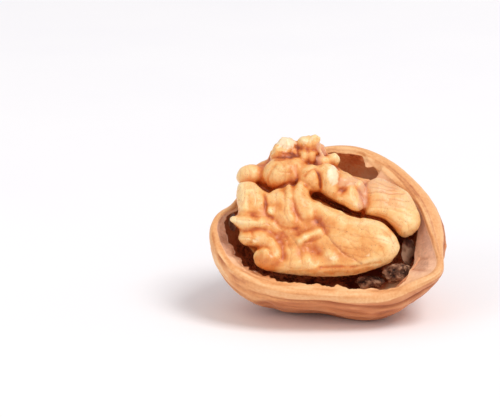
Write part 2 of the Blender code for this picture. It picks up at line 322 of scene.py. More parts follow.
def outside_of_shell(degrees):
    """The outer wall from near the keel up to the rim, its height over the even bowl, and what colours it."""
    down = (np.arange(OUTER_ROWS, 0, -1) / (OUTER_ROWS + 1))[:, None] ** CROWDING
    turn = degrees[None, :] + 0 * down
    down = down + 0 * turn
    wall = bowl(turn, down, round_curve(RIM_OUTLINE, turn), round_curve(SWELLING, turn), SHELL_DEPTH)
    below = SHELL_DEPTH * np.sin(down * math.pi / 2)  # millimetres under the rim
    long_way = wall * np.array((0.32, 1.0, 1.0))  # stretches the waves along the nut
    furrows = rough_waves(long_way, 3.4, 11)
    ridged = 1 - 2.2 * np.abs(waves(wall * np.array((0.5, 1.0, 1.0)), 2.6, 17))
    grain = waves(long_way, 0.8, 21)
    pits = np.clip(waves(wall, 1.0, 25) - 0.45, 0, 1)
    calm = ease(below / 3.5)  # near the rim the wall is smooth
    scraped = near(turn, SCRAPED_SIDE) * bell(below / 10)
    slanting = np.stack([wall[..., 0] * 0.25 + wall[..., 2] * 0.35, wall[..., 1], wall[..., 2]], axis=-1)
    streaks = rough_waves(slanting * np.array((1.0, 0.45, 0.9)), 1.5, 27)
    suture = bell((below - SUTURE_PLACE) / SUTURE_WIDTH)
    lip = LIP_HEIGHT * bell((below - LIP_PLACE) / LIP_WIDTH) - SUTURE_DEPTH * suture
    dent = near(turn, DENT) * bell((below - DENT_PLACE) / DENT_WIDTH)
    relief = calm * (1 - 0.75 * scraped) * (FURROW * furrows + RIDGE * ridged + GRAIN * grain - PIT * pits)
    relief = relief + lip * (1 - scraped) + EDGE_WAVE * around_rim(turn, 1.4, 23) * (1 - calm)
    relief = relief + STREAK * scraped * streaks
    outer = wall + grid_normals(wall) * (relief - DENT_DEPTH * dent)[..., None]
    band = PALE_BAND + 0.4 * around_rim(turn, 5, 31)
    for place, reach in PALE_REACH:
        band = band + reach * near(turn, place)
    fresh = 1 - ease((below - band * 0.6) / (band * 0.6))
    dark_line = 0.75 * bell((below - SUTURE_PLACE) / 0.35) * (1 - scraped)
    cracks = 0.5 * np.clip(-ridged - 0.3, 0, 1) * calm * (1 - scraped)
    return outer, {
        "fresh": fresh,
        "inside": 0 * fresh,
        "line": dark_line + cracks + 0.5 * scraped * np.clip(-streaks - 0.15, 0, 1),
        "blush_and_painted_light": 0 * fresh,
        # painted shade: darker where the relief is low in the furrows; the scraped side's streaks are tone
        "painted_shade_and_tone": np.clip(0.5 + relief * 0.9 + 0.35 * scraped * streaks, 0, 1),
    }


def ledge_place(degrees, share):
    """A point across the rim: share runs from 0 at its outer edge to 1 at its inner edge. It is domed at the outer
    edge, and slopes down to the inner edge."""
    outline = round_curve(RIM_OUTLINE, degrees)
    radius = outline - broken_breadth(degrees) * share
    turn = np.radians(degrees)
    dome = EDGE_DOME * np.sin(math.pi * np.clip(share * 1.5, 0, 1)) ** 0.8
    slope = round_curve(LEDGE_SLOPE, degrees) * share**1.8
    drop = round_curve(NOTCH, degrees) + round_curve(RIM_DIP, degrees)
    return np.stack([radius * np.cos(turn), radius * np.sin(turn), dome - slope - drop], axis=-1)


def top_of_rim(degrees):
    """The broken rim between its outer and inner edges, with layers that run along it."""
    share = ((np.arange(RIM_ROWS) + 0.5) / RIM_ROWS)[:, None]
    turn = degrees[None, :] + 0 * share
    share = share + 0 * turn
    rim = ledge_place(turn, share)
    breadth = round_curve(RIM_OUTLINE, turn) - np.hypot(rim[..., 0], rim[..., 1])
    arc = np.radians(turn)
    layered = np.stack([20 * np.cos(arc) * 0.16, 20 * np.sin(arc) * 0.16, breadth], axis=-1)
    layers = rough_waves(layered, 0.75, 41, 2)
    right = np.clip(1.3 * near(from_angle(turn, 0), RIGHT_SIDE), 0, 1)
    inward = 1.2 + 0.9 * near(turn, BACK_LEDGE) + 0.2 * around_rim(turn, 4, 43)
    step = ease((breadth - inward) / 0.28) * right
    from_tip = from_angle(turn, TIP)
    tip = bell(from_tip / TIP_SPREAD)
    creases = bell((np.abs(from_tip) - 4.5) / 1.3) * ease(share * 1.6) * tip
    grit = waves(rim, 0.45, 45)
    torn = near(turn, TORN_EDGE) * ease((breadth - 2.0) / 0.6)
    left = ease((breadth - 1.0 - 0.35 * around_rim(turn, 2.5, 48)) / 0.35)
    left = left * np.clip(1.4 * near(turn, LEFT_END), 0, 1)
    ledge = 1 - 0.75 * step
    rim[..., 2] += LAYER * layers * ledge - STEP * step + GRIT * grit - CREASE * creases
    rim[..., 2] += torn * FLAKE * rough_waves(rim, 1.0, 47)
    seam = 0.45 + 0.12 * around_rim(turn, 5, 44)
    line = 0.55 * bell((breadth - inward) / 0.15) * right
    line = line + (0.45 * bell((breadth - 2 * seam) / 0.12) + 0.40 * bell((breadth - 0.8 * seam) / 0.10)) * right
    rim[..., 2] -= LEFT_SINK * left * (1 + rough_waves(rim, 1.2, 49))
    line = line + 0.35 * left * np.clip(0.5 + 1.2 * rough_waves(rim, 0.9, 50), 0, 1)
    line = line + 0.5 * creases + 0.28 * np.clip(-layers - 0.3, 0, 1) * ledge + 0.45 * torn
    wall_share = 0.5 + 0.5 * ease((24 - from_angle(turn, 0)) / 26)
    at_tip = 0.85 * tip * ease(share * 2.4 - 0.4)
    bark = 0.85 * right * (1 - ease(breadth / 0.5 - 0.2 * grit))  # the brown outside shows at the very edge
    return rim, {
        "fresh": 1 - 0.15 * ease(share * 2 - 1) - bark,
        "inside": 0 * share,
        "line": line,
        "blush_and_painted_light": np.clip(np.maximum(wall_share * step, np.maximum(at_tip, 0.9 * left)), 0, 1),
        "painted_shade_and_tone": np.clip(0.62 + 0.28 * layers * ledge - 0.2 * torn, 0, 1),
    }


def inner_wall(degrees, down):
    """The inner wall: under the rim's ragged edge it runs back to the even hollow."""
    even = round_curve(RIM_OUTLINE, degrees) - round_curve(RIM_BREADTH, degrees)
    ragged = round_curve(RIM_OUTLINE, degrees) - broken_breadth(degrees)
    near_edge = np.clip(1 - down / 0.10, 0, 1) ** 2
    edge = even + (ragged - even) * near_edge
    swelling = round_curve(SWELLING, degrees) + round_curve(UNDERCUT, degrees)
    wall = bowl(degrees, down, edge, swelling, SHELL_DEPTH - WALL)
    wall[..., 2] -= round_curve(LEDGE_SLOPE, degrees) * near_edge
    return wall


def inside_of_shell(degrees):
    """The inner wall from under the rim down to near the keel."""
    down = (np.arange(1, INNER_ROWS + 1) / (INNER_ROWS + 1))[:, None] ** INNER_CROWDING
    turn = degrees[None, :] + 0 * down
    down = down + 0 * turn
    wall = inner_wall(turn, down)
    below = (SHELL_DEPTH - WALL) * np.sin(down * math.pi / 2)
    folds = rough_waves(wall * np.array((1.0, 1.0, 0.6)), 3.0, 51)
    skin = waves(wall, 0.7, 55)
    relief = ease(below / 1.5) * (FOLD * folds + INNER_GRAIN * skin)
    inner = wall + grid_normals(wall) * relief[..., None]
    edge = 0.7 + 0.5 * around_rim(turn, 2.0, 57)
    right = bell(from_angle(turn, RIGHT_INSIDE[0]) / RIGHT_INSIDE[1]) * bell(below / 9)
    # on the left the rosy lining is partly painted light
    left = 0.9 * near(turn, LEFT_INSIDE_LIFT) * bell(below / 7)
    # Painted shade: darker deep in the bowl and in the low folds, and a painted shadow under the kernel's front.
    painted_deep_shadow = 0.40 * ease((below - 8) / 6) + 0.55 * near(turn, KERNEL_SHADOW_PLACE) * ease(below / 1.5)
    return inner, {
        "fresh": 1 - ease((below - edge * 0.4) / edge),
        "inside": ease(below / 0.8),
        "line": 0.5 * np.clip(-folds - 0.2, 0, 1),
        "blush_and_painted_light": np.maximum(right, left),
        "painted_shade_and_tone": np.clip(0.5 + folds * 0.30 - painted_deep_shadow, 0, 1),
    }


def make_shell(material):
    """The half shell: outer wall, rim and inner wall are one grid of rings, closed at the keel by a point outside
    and a point inside. What lies below the surface it rests on is worn flat."""
    degrees = np.arange(AROUND) * 360.0 / AROUND
    parts = [outside_of_shell(degrees), top_of_rim(degrees), inside_of_shell(degrees)]
    grid = np.concatenate([part[0] for part in parts])
    notes = {name: np.concatenate([part[1][name] for part in parts]).ravel() for name in parts[0][1]}
    rows = len(grid)
    poles = np.array(
        [[KEEL_SHIFT[0], KEEL_SHIFT[1], -SHELL_DEPTH], [KEEL_SHIFT[0], KEEL_SHIFT[1], -(SHELL_DEPTH - WALL)]]
    )
    points = rim_to_world(np.vstack([grid.reshape(-1, 3), poles]))
    points[:, 2] = np.maximum(points[:, 2], 0.0)
    ring = np.arange(AROUND)
    nxt = (ring + 1) % AROUND
    low = np.arange(rows - 1)[:, None] * AROUND
    quads = np.stack([low + ring, low + nxt, low + AROUND + nxt, low + AROUND + ring], axis=-1).reshape(-1, 4)
    outer_pole, inner_pole = rows * AROUND, rows * AROUND + 1
    last = (rows - 1) * AROUND
    caps = np.vstack(
        [
            np.stack([np.full(AROUND, outer_pole), nxt, ring], axis=-1),
            np.stack([np.full(AROUND, inner_pole), last + ring, last + nxt], axis=-1),
        ]
    )
    notes = {name: np.append(values, [values[0], values[-1]]) for name, values in notes.items()}
    return new_piece("walnut_shell", points, [quads, caps], material, notes, "shell_half")


# ---------------------------------------------------------------- kernel: a field of soft shapes

CELL = 0.22  # size of the field's cells
FIELD_LOW = np.array((-18.4, -13.4, -16.2))
FIELD_HIGH = np.array((18.2, 16.2, 11.4))

# Ellipsoids under the visible face: centre, radii, turn about Z, lean about X, how softly they join.
BODIES = (
    ((-1.0, -5.0, 2.2), (13.4, 4.9, 4.0), -4, -30, 1.0),
    ((7.0, -4.4, 3.2), (6.0, 4.2, 3.0), -12, -32, 1.0),
    ((-10.5, -0.5, 1.4), (5.0, 5.6, 3.8), 0, -25, 1.0),
    ((-5.0, 6.2, -6.4), (9.6, 5.6, 5.0), -4, -30, 1.0),
    ((6.5, 2.4, -6.4), (9.0, 4.8, 4.6), -20, -35, 1.0),
    ((11.4, 2.0, -3.8), (4.8, 4.6, 3.2), -40, -30, 1.0),
    ((-1.0, -4.8, -1.0), (12.2, 4.6, 5.4), 0, -45, 1.5),
    ((0.5, 0.0, -8.0), (13.5, 8.0, 7.4), 0, -45, 1.5),
    # the row of swellings behind the groove
    ((-13.6, 7.6, -4.4), (2.6, 2.4, 2.5), 0, 0, 0.6),
    ((-8.2, 7.9, -2.5), (3.45, 3.15, 3.3), 0, 0, 0.6),
    ((-2.7, 6.9, -1.3), (2.7, 3.1, 3.4), -10, 0, 0.7),
    ((0.4, 6.9, -1.1), (2.4, 3.3, 3.2), 8, 0, 0.9),
    ((1.8, 4.6, -1.2), (4.6, 1.9, 2.9), -35, 0, 0.7),
    ((-5.5, 8.9, -3.0), (2.3, 2.3, 2.7), 0, 0, 0.8),
    ((-11.2, 7.4, -4.6), (1.8, 2.0, 2.2), 0, 0, 0.8),
    # the broken top
    ((-7.1, 13.1, -5.2), (1.8, 1.9, 1.6), 20, 0, 0.6),
    ((-8.4, 12.3, -5.0), (1.2, 1.2, 1.3), 0, 0, 0.6),
    ((-7.7, 11.2, -4.3), (2.4, 1.7, 2.0), -8, 0, 0.7),
    ((-5.0, 11.6, -4.8), (1.4, 1.6, 1.6), 0, 0, 0.6),
    ((-3.9, 13.7, -5.4), (1.5, 1.5, 1.6), 0, 0, 0.6),
    ((-2.2, 13.5, -5.2), (1.3, 1.6, 1.5), 0, 0, 0.6),
    ((-5.0, 13.3, -5.8), (1.0, 1.3, 1.4), 0, 0, 0.6),
    ((5.4, 5.6, -1.8), (1.6, 1.4, 1.8), 0, 0, 0.8),
    ((-3.9, 11.0, -4.0), (1.0, 1.8, 1.7), 0, 0, 0.45),
    ((-2.6, 11.0, -4.0), (0.95, 1.7, 1.6), 0, 0, 0.45),
    ((-7.0, 11.2, -6.8), (3.2, 2.6, 2.2), 0, 0, 0.6),
    ((-2.6, 11.4, -6.8), (3.0, 2.8, 2.0), 0, 0, 0.6),
    ((1.3, 10.8, -5.8), (1.4, 1.4, 1.6), 0, 0, 0.5),
    ((-0.6, 10.0, -4.6), (1.6, 1.6, 2.0), 0, 0, 0.6),
    ((-3.1, 12.3, -5.3), (1.8, 1.5, 1.9), 0, 0, 0.7),
    ((-5.4, 7.5, -2.1), (1.7, 2.3, 2.6), 0, 0, 0.8),
    ((3.6, 6.2, -1.6), (2.6, 1.8, 2.4), -35, 0, 0.7),
    ((3.6, 7.0, -4.2), (3.0, 1.3, 2.0), -30, 0, 0.5),
    ((3.0, 5.8, -1.3), (1.7, 1.4, 2.2), 0, 0, 0.8),
)

# Cushions of the visible face, each with its outline in X and Y, the height of its widest level at the outline's
# middle, that level's slope along X and Y, its thickness to the front, its rounding, and how softly it joins.
CUSHIONS = {
    "front_lobe": (
        ((-16.1, 5.9), (-15.0, 6.7), (-12.8, 6.7), (-12.0, 6.2), (-11.0, 5.4), (-10.1, 5.1), (-8.9, 5.4),
         (-8.0, 5.5), (-7.2, 5.9), (-6.7, 6.15), (-6.2, 5.9), (-5.6, 5.9), (-5.1, 6.4), (-4.6, 6.7), (-4.0, 6.5),
         (-3.5, 5.9), (-2.7, 4.7), (-1.9, 3.9), (-1.0, 3.4), (0.0, 3.0), (1.0, 2.55), (2.0, 2.1), (3.0, 1.8),
         (4.2, 1.2), (6.0, 0.65), (9.0, 0.1), (10.5, -0.45), (11.7, -1.4), (12.8, -2.8), (13.4, -4.3),
         (13.35, -5.5), (12.8, -6.6), (11.6, -7.6), (10.0, -8.4), (8.0, -9.1), (6.0, -9.7), (3.0, -10.15),
         (0.0, -10.3), (-2.0, -10.35), (-5.0, -10.0), (-7.0, -9.8), (-8.0, -9.85), (-9.0, -9.7), (-10.5, -9.5),
         (-11.7, -9.1), (-12.8, -8.2), (-13.15, -7.0), (-12.9, -6.1), (-12.5, -5.5), (-13.2, -5.15),
         (-14.8, -4.9), (-15.6, -4.3), (-16.0, -3.5), (-15.8, -2.6), (-16.2, -1.8), (-16.8, -1.0), (-17.35, -0.2),
         (-17.0, 0.3), (-16.2, 0.6), (-16.0, 1.4), (-16.2, 3.2)),
        3.9, (0.03, -0.50), 2.9, 2.1, 0.6),
    "diamond": (
        ((4.8, 6.3), (3.0, 5.2), (1.3, 3.7), (2.4, 2.5), (3.4, 1.8), (4.5, 1.1), (5.5, 0.8), (6.4, 0.9),
         (6.9, 2.2), (6.6, 3.4), (5.9, 4.8)),
        0.7, (0.0, -0.40), 2.2, 2.1, 0.35),
    "back_paddle": (
        ((7.0, 1.0), (7.1, 3.0), (7.0, 5.2), (7.3, 6.4), (8.2, 7.1), (9.7, 7.5), (11.2, 6.9), (12.6, 6.0),
         (14.0, 5.5), (15.3, 4.5), (16.1, 3.0), (17.0, 1.0), (17.25, -0.5), (16.8, -1.8), (15.8, -2.8),
         (14.6, -3.35), (13.2, -3.1), (12.2, -1.9), (11.0, -0.7), (9.6, 0.0), (8.0, 0.3)),
        -1.2, (-0.04, -0.50), 2.8, 2.9, 0.4),
}

# Rolls: a line of (X, Y, Z, radius) along the roll's middle, and how softly it joins.
ROLLS = (
    (((-13.2, -3.0, 6.2, 0.55), (-12.0, -3.2, 6.7, 0.8), (-10.8, -3.8, 7.3, 0.9), (-9.7, -4.8, 8.0, 0.9),
      (-9.0, -5.9, 8.6, 0.85), (-8.8, -6.9, 8.9, 0.75), (-9.4, -7.6, 9.0, 0.6)), 0.5),
    (((-12.0, -6.6, 7.4, 1.0), (-10.9, -6.9, 8.2, 1.3), (-10.0, -7.3, 8.4, 1.1)), 0.5),
    (((-8.6, -9.0, 8.0, 0.8), (-4.5, -9.4, 8.5, 0.95), (0.0, -9.55, 8.6, 1.0), (4.0, -9.4, 8.5, 0.95),
      (8.0, -8.55, 7.9, 0.85), (11.6, -7.3, 6.8, 0.5)), 0.5),
    (((6.0, 6.0, -1.4, 0.5), (6.7, 4.4, -1.0, 0.6), (6.9, 2.4, -0.2, 0.5)), 1.0),
    (((2.6, 7.4, -1.4, 0.5), (4.2, 6.8, -1.8, 0.6), (5.6, 6.2, -1.7, 0.55)), 1.0),
    (((-1.35, 14.6, -5.0, 0.30), (-1.05, 12.6, -4.6, 0.42), (-0.35, 10.9, -3.8, 0.36)), 0.2),
)

# Low swellings of the front face: a line in X and Y, height, half-width. They add up.
SWELLS = (
    (((-15.2, 6.0), (-15.3, 3.6), (-15.2, 2.0)), 0.55, 1.2),
    (((-13.2, 5.4), (-12.6, 3.0)), 0.35, 1.3),
    (((-9.0, 4.2), (-7.6, 3.4)), 0.50, 1.6),
    (((-6.7, 5.8), (-6.5, 4.4)), 0.30, 0.6),
    (((-10.25, 1.6), (-10.15, 1.2)), 0.45, 0.55),
    (((-9.4, 1.6), (-7.2, 0.6)), 0.25, 1.0),
    (((-4.8, 6.0), (-5.1, 4.6), (-4.6, 2.8), (-3.8, 1.0)), 0.55, 1.0),
    (((-3.4, 5.0), (-2.9, 3.0), (-2.5, 1.0)), 0.35, 0.8),
    (((-1.0, 2.4), (0.6, 1.0), (2.4, 0.2)), 0.35, 1.2),
    (((2.4, 2.0), (3.4, 1.6)), 0.50, 0.6),
    (((-16.8, 0.0), (-14.6, -0.5), (-12.0, -0.6)), 0.55, 0.9),
    (((-15.2, -3.4), (-13.8, -3.6)), 0.45, 0.9),
    (((-4.6, -3.9), (-4.0, -3.5)), 0.60, 0.75),
    (((-3.6, -3.2), (-1.2, -2.2)), 0.40, 0.55),
    (((-6.4, -6.0), (-5.4, -7.8)), 0.35, 1.2),
    (((-3.4, -7.4), (-2.6, -8.6)), 0.30, 0.9),
    (((3.6, -3.4), (8.6, -4.2)), 0.85, 3.6),
    (((7.4, -2.0), (11.0, -4.0)), 0.35, 2.2),
    (((0.4, -6.2), (1.6, -7.6)), 0.35, 0.9),
    (((-2.0, -5.6), (-1.4, -6.2)), -0.35, 1.1),
    (((-6.6, -3.0), (-5.4, -2.8)), -0.15, 0.9),
    (((-8.0, -2.6), (-6.6, -4.6)), -0.25, 0.9),
    (((-1.2, -0.6), (0.2, -2.4)), -0.25, 0.8),
    (((-10.6, -6.5), (-10.0, -7.0)), 0.75, 1.3),
    (((-7.0, 2.0), (-6.4, 0.2)), 0.25, 1.0),
)

# Grooves cut into the field, with painted shade along them: a line in X and Y, depth, half-width.
GROOVES = (
    (((-1.9, 4.3), (-1.0, 4.0), (0.0, 3.35), (1.0, 2.8), (2.0, 2.3), (3.0, 1.9), (4.2, 1.3), (5.0, 0.98),
      (6.2, 0.72)), 2.6, 0.32),
    (((6.2, 0.72), (7.5, 0.42), (9.0, 0.12), (10.0, -0.2), (11.0, -0.9), (12.0, -1.9), (13.0, -3.1),
      (13.6, -4.2)), 0.9, 0.24),
    (((-11.15, 5.4), (-11.0, 3.6), (-10.9, 2.2), (-10.6, 1.0), (-9.8, 0.2)), 0.40, 0.34),
    (((-12.2, 6.4), (-11.4, 5.8), (-10.4, 5.2)), 0.9, 0.40),
    (((-9.8, 0.0), (-9.0, -0.35), (-8.3, -1.2), (-7.0, -1.65), (-5.5, -1.75)), 0.22, 0.30),
    (((-17.0, -0.9), (-15.6, -2.0), (-14.0, -2.15), (-12.5, -1.75), (-11.0, -1.95), (-10.0, -2.3)), 0.26, 0.28),
    (((-10.0, -2.3), (-9.1, -3.0), (-8.3, -4.0), (-7.75, -5.0), (-7.55, -6.2), (-7.6, -7.0)), 0.28, 0.60),
    (((-13.6, -5.4), (-12.4, -5.2), (-11.2, -4.9), (-10.4, -5.4), (-10.0, -6.2)), 0.16, 0.26),
    (((-1.0, -8.75), (2.0, -8.65), (6.0, -8.65), (8.0, -8.25), (10.0, -7.85)), 0.22, 0.22),
    (((-6.1, 4.6), (-5.6, 2.6), (-5.2, 1.0), (-4.2, -0.2)), 0.14, 0.22),
    (((-2.2, 3.5), (-1.9, 1.6), (-1.9, 0.0)), 0.10, 0.22),
    (((-15.8, 1.7), (-14.4, 1.2), (-12.8, 1.0)), 0.14, 0.24),
    (((-13.5, -2.4), (-13.4, -3.4), (-13.6, -4.4)), 0.25, 0.22),
    (((-3.8, 7.8), (-3.0, 8.7), (-2.2, 9.0), (-1.6, 8.5), (-1.1, 7.5), (-1.0, 6.3), (-0.9, 4.6)), 0.35, 0.22),
    (((-9.0, 9.9), (-10.0, 8.6), (-10.6, 7.3), (-10.4, 6.4)), 0.28, 0.20),
    (((-5.4, 9.8), (-5.2, 8.2), (-5.4, 6.4)), 0.2, 0.26),
    (((1.1, 3.9), (2.6, 5.3), (4.2, 6.5)), 0.24, 0.20),
    (((6.9, 1.2), (6.7, 3.2), (6.2, 4.8), (5.4, 6.2)), 0.18, 0.20),
    (((-9.4, 12.3), (-7.8, 12.1), (-6.0, 12.0), (-5.2, 11.6)), 0.16, 0.20),
    (((-5.25, 14.6), (-5.2, 13.2), (-5.1, 11.8)), 0.4, 0.22),
    (((-4.8, 12.9), (-4.3, 12.65), (-3.0, 12.7), (-1.7, 12.5)), 0.16, 0.24),
)

# Fine veins on the skin: a line in X and Y, depth, half-width, darkness.
VEINS = (
    (((-0.3, -1.4), (0.5, -3.0), (1.3, -4.2), (2.5, -5.5), (3.8, -6.6), (5.0, -7.4), (6.5, -8.3)),
     0.20, 0.16, 0.95),
    (((-0.6, -1.2), (0.8, -1.35), (2.0, -1.6), (3.6, -2.2)), 0.12, 0.15, 0.5),
    (((1.5, -4.75), (3.0, -5.1), (4.5, -5.3), (7.0, -5.7)), 0.09, 0.14, 0.6),
    (((2.5, -5.7), (4.0, -6.4), (6.0, -6.8), (8.2, -6.9)), 0.09, 0.14, 0.6),
    (((9.8, -4.8), (10.5, -5.8), (11.0, -6.7)), 0.07, 0.13, 0.5),
    (((8.0, -3.5), (9.5, -4.5), (11.2, -5.0)), 0.07, 0.13, 0.45),
    (((0.6, -3.1), (2.4, -3.2), (4.4, -3.8), (6.2, -4.0)), 0.07, 0.13, 0.4),
    (((3.2, -0.2), (4.8, -1.2), (6.8, -1.9), (8.4, -2.9)), 0.06, 0.14, 0.3),
    (((5.6, -0.2), (7.6, -0.9), (9.6, -1.7), (11.2, -2.9)), 0.06, 0.14, 0.28),
    (((-3.6, -4.3), (-2.2, -3.9), (-0.9, -3.4)), 0.22, 0.24, 0.6),
    (((-6.4, -3.0), (-5.2, -4.6), (-4.6, -6.4), (-4.4, -8.2)), 0.14, 0.2, 0.4),
    (((-3.2, -5.2), (-2.4, -6.6), (-1.8, -8.2)), 0.12, 0.2, 0.35),
    (((-6.2, -2.2), (-4.6, -2.4), (-3.0, -1.8)), 0.14, 0.2, 0.4),
    (((-14.9, 6.2), (-14.8, 4.4), (-15.1, 2.6)), 0.16, 0.2, 0.4),
    (((-12.9, 6.2), (-12.7, 4.0), (-12.9, 2.0)), 0.14, 0.18, 0.4),
    (((-9.2, 5.0), (-9.0, 3.2), (-9.4, 1.2)), 0.16, 0.2, 0.45),
    (((-7.7, 5.4), (-7.3, 3.4), (-7.5, 1.0), (-6.9, -0.6)), 0.18, 0.2, 0.5),
    (((-16.2, -0.2), (-14.4, -0.4), (-12.4, -0.3)), 0.14, 0.2, 0.35),
    (((-15.4, -3.4), (-13.8, -3.4), (-12.6, -4.0)), 0.14, 0.2, 0.55),
    (((7.6, 4.9), (10.0, 4.9), (12.4, 4.6), (14.2, 4.7)), 0.14, 0.15, 0.65),
    (((11.4, 3.7), (13.0, 3.5), (15.4, 3.1)), 0.12, 0.14, 0.55),
    (((9.0, 6.9), (11.0, 6.0), (13.0, 5.4)), 0.10, 0.14, 0.5),
    (((8.0, 2.2), (10.4, 2.0), (13.0, 1.4), (15.6, 0.6)), 0.09, 0.14, 0.45),
    (((9.0, 1.0), (11.6, 0.0), (13.8, -1.4)), 0.09, 0.14, 0.45),
    (((8.0, 5.9), (10.2, 5.5), (12.4, 5.2)), 0.10, 0.13, 0.45),
    (((8.6, 3.5), (10.2, 3.3), (11.8, 2.6)), 0.09, 0.13, 0.5),
    (((12.6, 2.5), (14.2, 1.9), (16.0, 1.5)), 0.08, 0.13, 0.45),
    (((13.2, 0.4), (14.6, -0.6), (15.4, -1.6)), 0.08, 0.13, 0.45),
    (((6.3, -5.0), (8.0, -5.5), (10.0, -6.6)), 0.08, 0.12, 0.55),
    (((5.2, -2.8), (7.4, -3.3), (9.4, -3.5), (11.8, -4.4)), 0.08, 0.12, 0.5),
    (((4.4, -4.5), (6.2, -5.5), (7.8, -6.3)), 0.08, 0.12, 0.5),
    (((10.4, -2.0), (11.6, -3.0), (12.5, -4.6)), 0.08, 0.13, 0.55),
    (((2.2, -1.9), (4.4, -2.9), (6.0, -3.2)), 0.07, 0.12, 0.45),
    (((-9.8, 9.6), (-8.2, 8.6), (-6.4, 8.4)), 0.16, 0.2, 0.45),
    (((-8.6, 10.6), (-7.6, 9.4), (-7.4, 7.6), (-7.8, 6.2)), 0.14, 0.2, 0.4),
    (((-14.2, 9.6), (-13.6, 8.2), (-13.8, 6.8)), 0.15, 0.2, 0.4),
    (((-4.6, 7.2), (-3.4, 6.6), (-2.2, 5.4)), 0.12, 0.18, 0.35),
    (((-0.2, 9.4), (-0.1, 7.6), (-0.3, 5.4)), 0.12, 0.18, 0.3),
    (((2.6, 4.2), (4.0, 3.4), (5.6, 2.2)), 0.06, 0.16, 0.3),
    (((-12.6, -1.1), (-10.8, -0.9), (-9.2, -1.9)), 0.10, 0.16, 0.4),
    (((-9.2, -0.9), (-7.8, -2.2), (-6.8, -4.0)), 0.10, 0.16, 0.4),
    (((-8.0, -0.9), (-6.4, -1.2), (-4.8, -0.9)), 0.10, 0.15, 0.35),
    (((-6.9, -4.4), (-6.2, -6.2), (-6.6, -8.4)), 0.10, 0.16, 0.4),
    (((-8.0, -8.4), (-6.0, -8.9), (-3.6, -9.0)), 0.10, 0.15, 0.4),
    (((-3.0, -1.2), (-3.6, -2.2), (-5.0, -3.0)), 0.10, 0.15, 0.35),
    (((-0.8, -4.0), (-0.2, -5.6), (0.4, -7.4)), 0.10, 0.15, 0.4),
    (((-11.6, -2.8), (-10.0, -3.6), (-8.9, -5.2)), 0.08, 0.13, 0.35),
    (((-16.0, 3.6), (-14.2, 3.0), (-12.2, 3.3)), 0.08, 0.14, 0.3),
)

# Where the skin is broken or rubbed off and the white flesh shows, and painted highlights on bumps of the front
# lobe: centre, half-widths, strength.
FLESH_AND_HIGHLIGHTS = (
    ((1.4, 8.0), (1.0, 1.8), 0.9),
    ((-7.2, 13.7), (1.6, 1.1), 0.85),
    ((-3.4, 14.2), (0.8, 0.6), 0.45),
    # these last four are painted highlights on bumps of the front lobe
    ((-12.4, -3.7), (0.7, 0.4), 0.35),
    ((-10.0, -6.7), (0.6, 0.4), 0.35),
    ((1.5, -7.1), (0.7, 0.35), 0.5),
    ((7.3, -6.8), (0.5, 0.3), 0.4),
)
# Where a greyish pink bloom of the dividing wall's skin stays on the kernel.
BLOOM = (
    ((6.8, 4.2), (0.9, 2.4), 1.0),
    ((4.2, 6.9), (1.6, 0.8), 0.9),
    ((10.5, 6.4), (3.4, 1.8), 0.7),
    ((12.6, 3.6), (3.4, 1.6), 0.35),
    ((-1.0, 12.6), (0.6, 2.2), 1.0),
)
# Where the skin is deep orange, and painted shade on the lower left knob.
DEEP_ORANGE_AND_SHADE = (
    ((-7.8, 11.5), (2.2, 0.7), 1.0),
    ((-5.8, 7.6), (0.8, 1.6), 0.30),
    ((-13.0, 0.2), (0.9, 0.8), 0.7),
    ((-13.5, -3.4), (0.7, 0.5), 0.6),
    ((-3.2, 13.0), (1.8, 0.8), 0.9),
    ((-2.2, 11.2), (0.8, 1.2), 0.5),
    ((3.0, -9.3), (7.5, 0.6), 0.6),
    ((-5.2, -2.6), (1.6, 1.0), 0.15),
    ((-1.6, 1.6), (1.0, 2.2), 0.12),
    ((11.6, -2.6), (1.0, 0.7), 0.5),
    # painted shade on the lower part of the lower left knob
    ((-10.8, -8.0), (2.6, 1.6), 0.85),
    ((-14.6, -3.8), (1.6, 1.4), 0.40),
    ((-9.2, -4.0), (1.6, 2.0), 0.20),
    ((-2.4, 6.6), (2.6, 2.6), 0.30),
    ((3.6, 3.2), (2.4, 2.0), 0.45),
    ((-8.2, 8.0), (3.0, 2.6), 0.18),
    ((13.4, -1.8), (2.0, 1.4), 0.30),
    ((-1.6, 14.2), (0.7, 0.8), 0.6),
)

# The two smooth paddles, where the wrinkles are low.
PADDLES = (
    ((6.5, -3.5), (6.5, 4.5), 0.75),
    ((12.0, 2.5), (5.0, 4.5), 0.75),
)

# Heights on the skin: long wrinkles, sharp pleats, puckers, the paddles' ripples, and crumbs where it is broken.
WRINKLE, PLEAT, PUCKER, RIPPLE, CRUMBLE, FINE_CRUMBLE = 0.13, 0.10, 0.055, 0.05, 0.22, 0.12
BROKEN_FROM = 11.0  # from this Y up the kernel is broken
FOLD_REACH = 1.6  # the field is held to this on both sides before it is averaged for the painted shade, which tells hollow from proud
FINE_BOX, BROAD_BOX = 3, 9  # cells each way that it is averaged over
# how dark the painted shade along the grooves is
GROOVE_SHADE = 0.36
VEIN_WANDER = 0.24  # how far the veins stray from their drawn lines
FRONT_MIDDLE = -1.6  # the Y at which the front lobe's sloping level has its given height
CLEARANCE = 0.45  # between the kernel and the shell's inside
LIP_THICKNESS = 1.2  # of the ledge over the hollow
LIP_RUN = 0.6  # under it, the room grows by this much for each millimetre down
HOLLOW_LIP = 2.0  # this far above the rim plane the shell stops mattering
PINCH_ROUNDS = 5
JUST_INSIDE = -0.02
OVERHANG = 2.0  # above the ledge's sunk inner edge the kernel spreads over it by this much for each millimetre up

axes = [np.arange(low, high, CELL) for low, high in zip(FIELD_LOW, FIELD_HIGH)]


def soft_least(a, b, softness):
    """The lesser of two fields, rounded off where they are nearly equal."""
    share = np.clip(0.5 + 0.5 * (b - a) / softness, 0, 1)
    return b + (a - b) * share - softness * share * (1 - share)


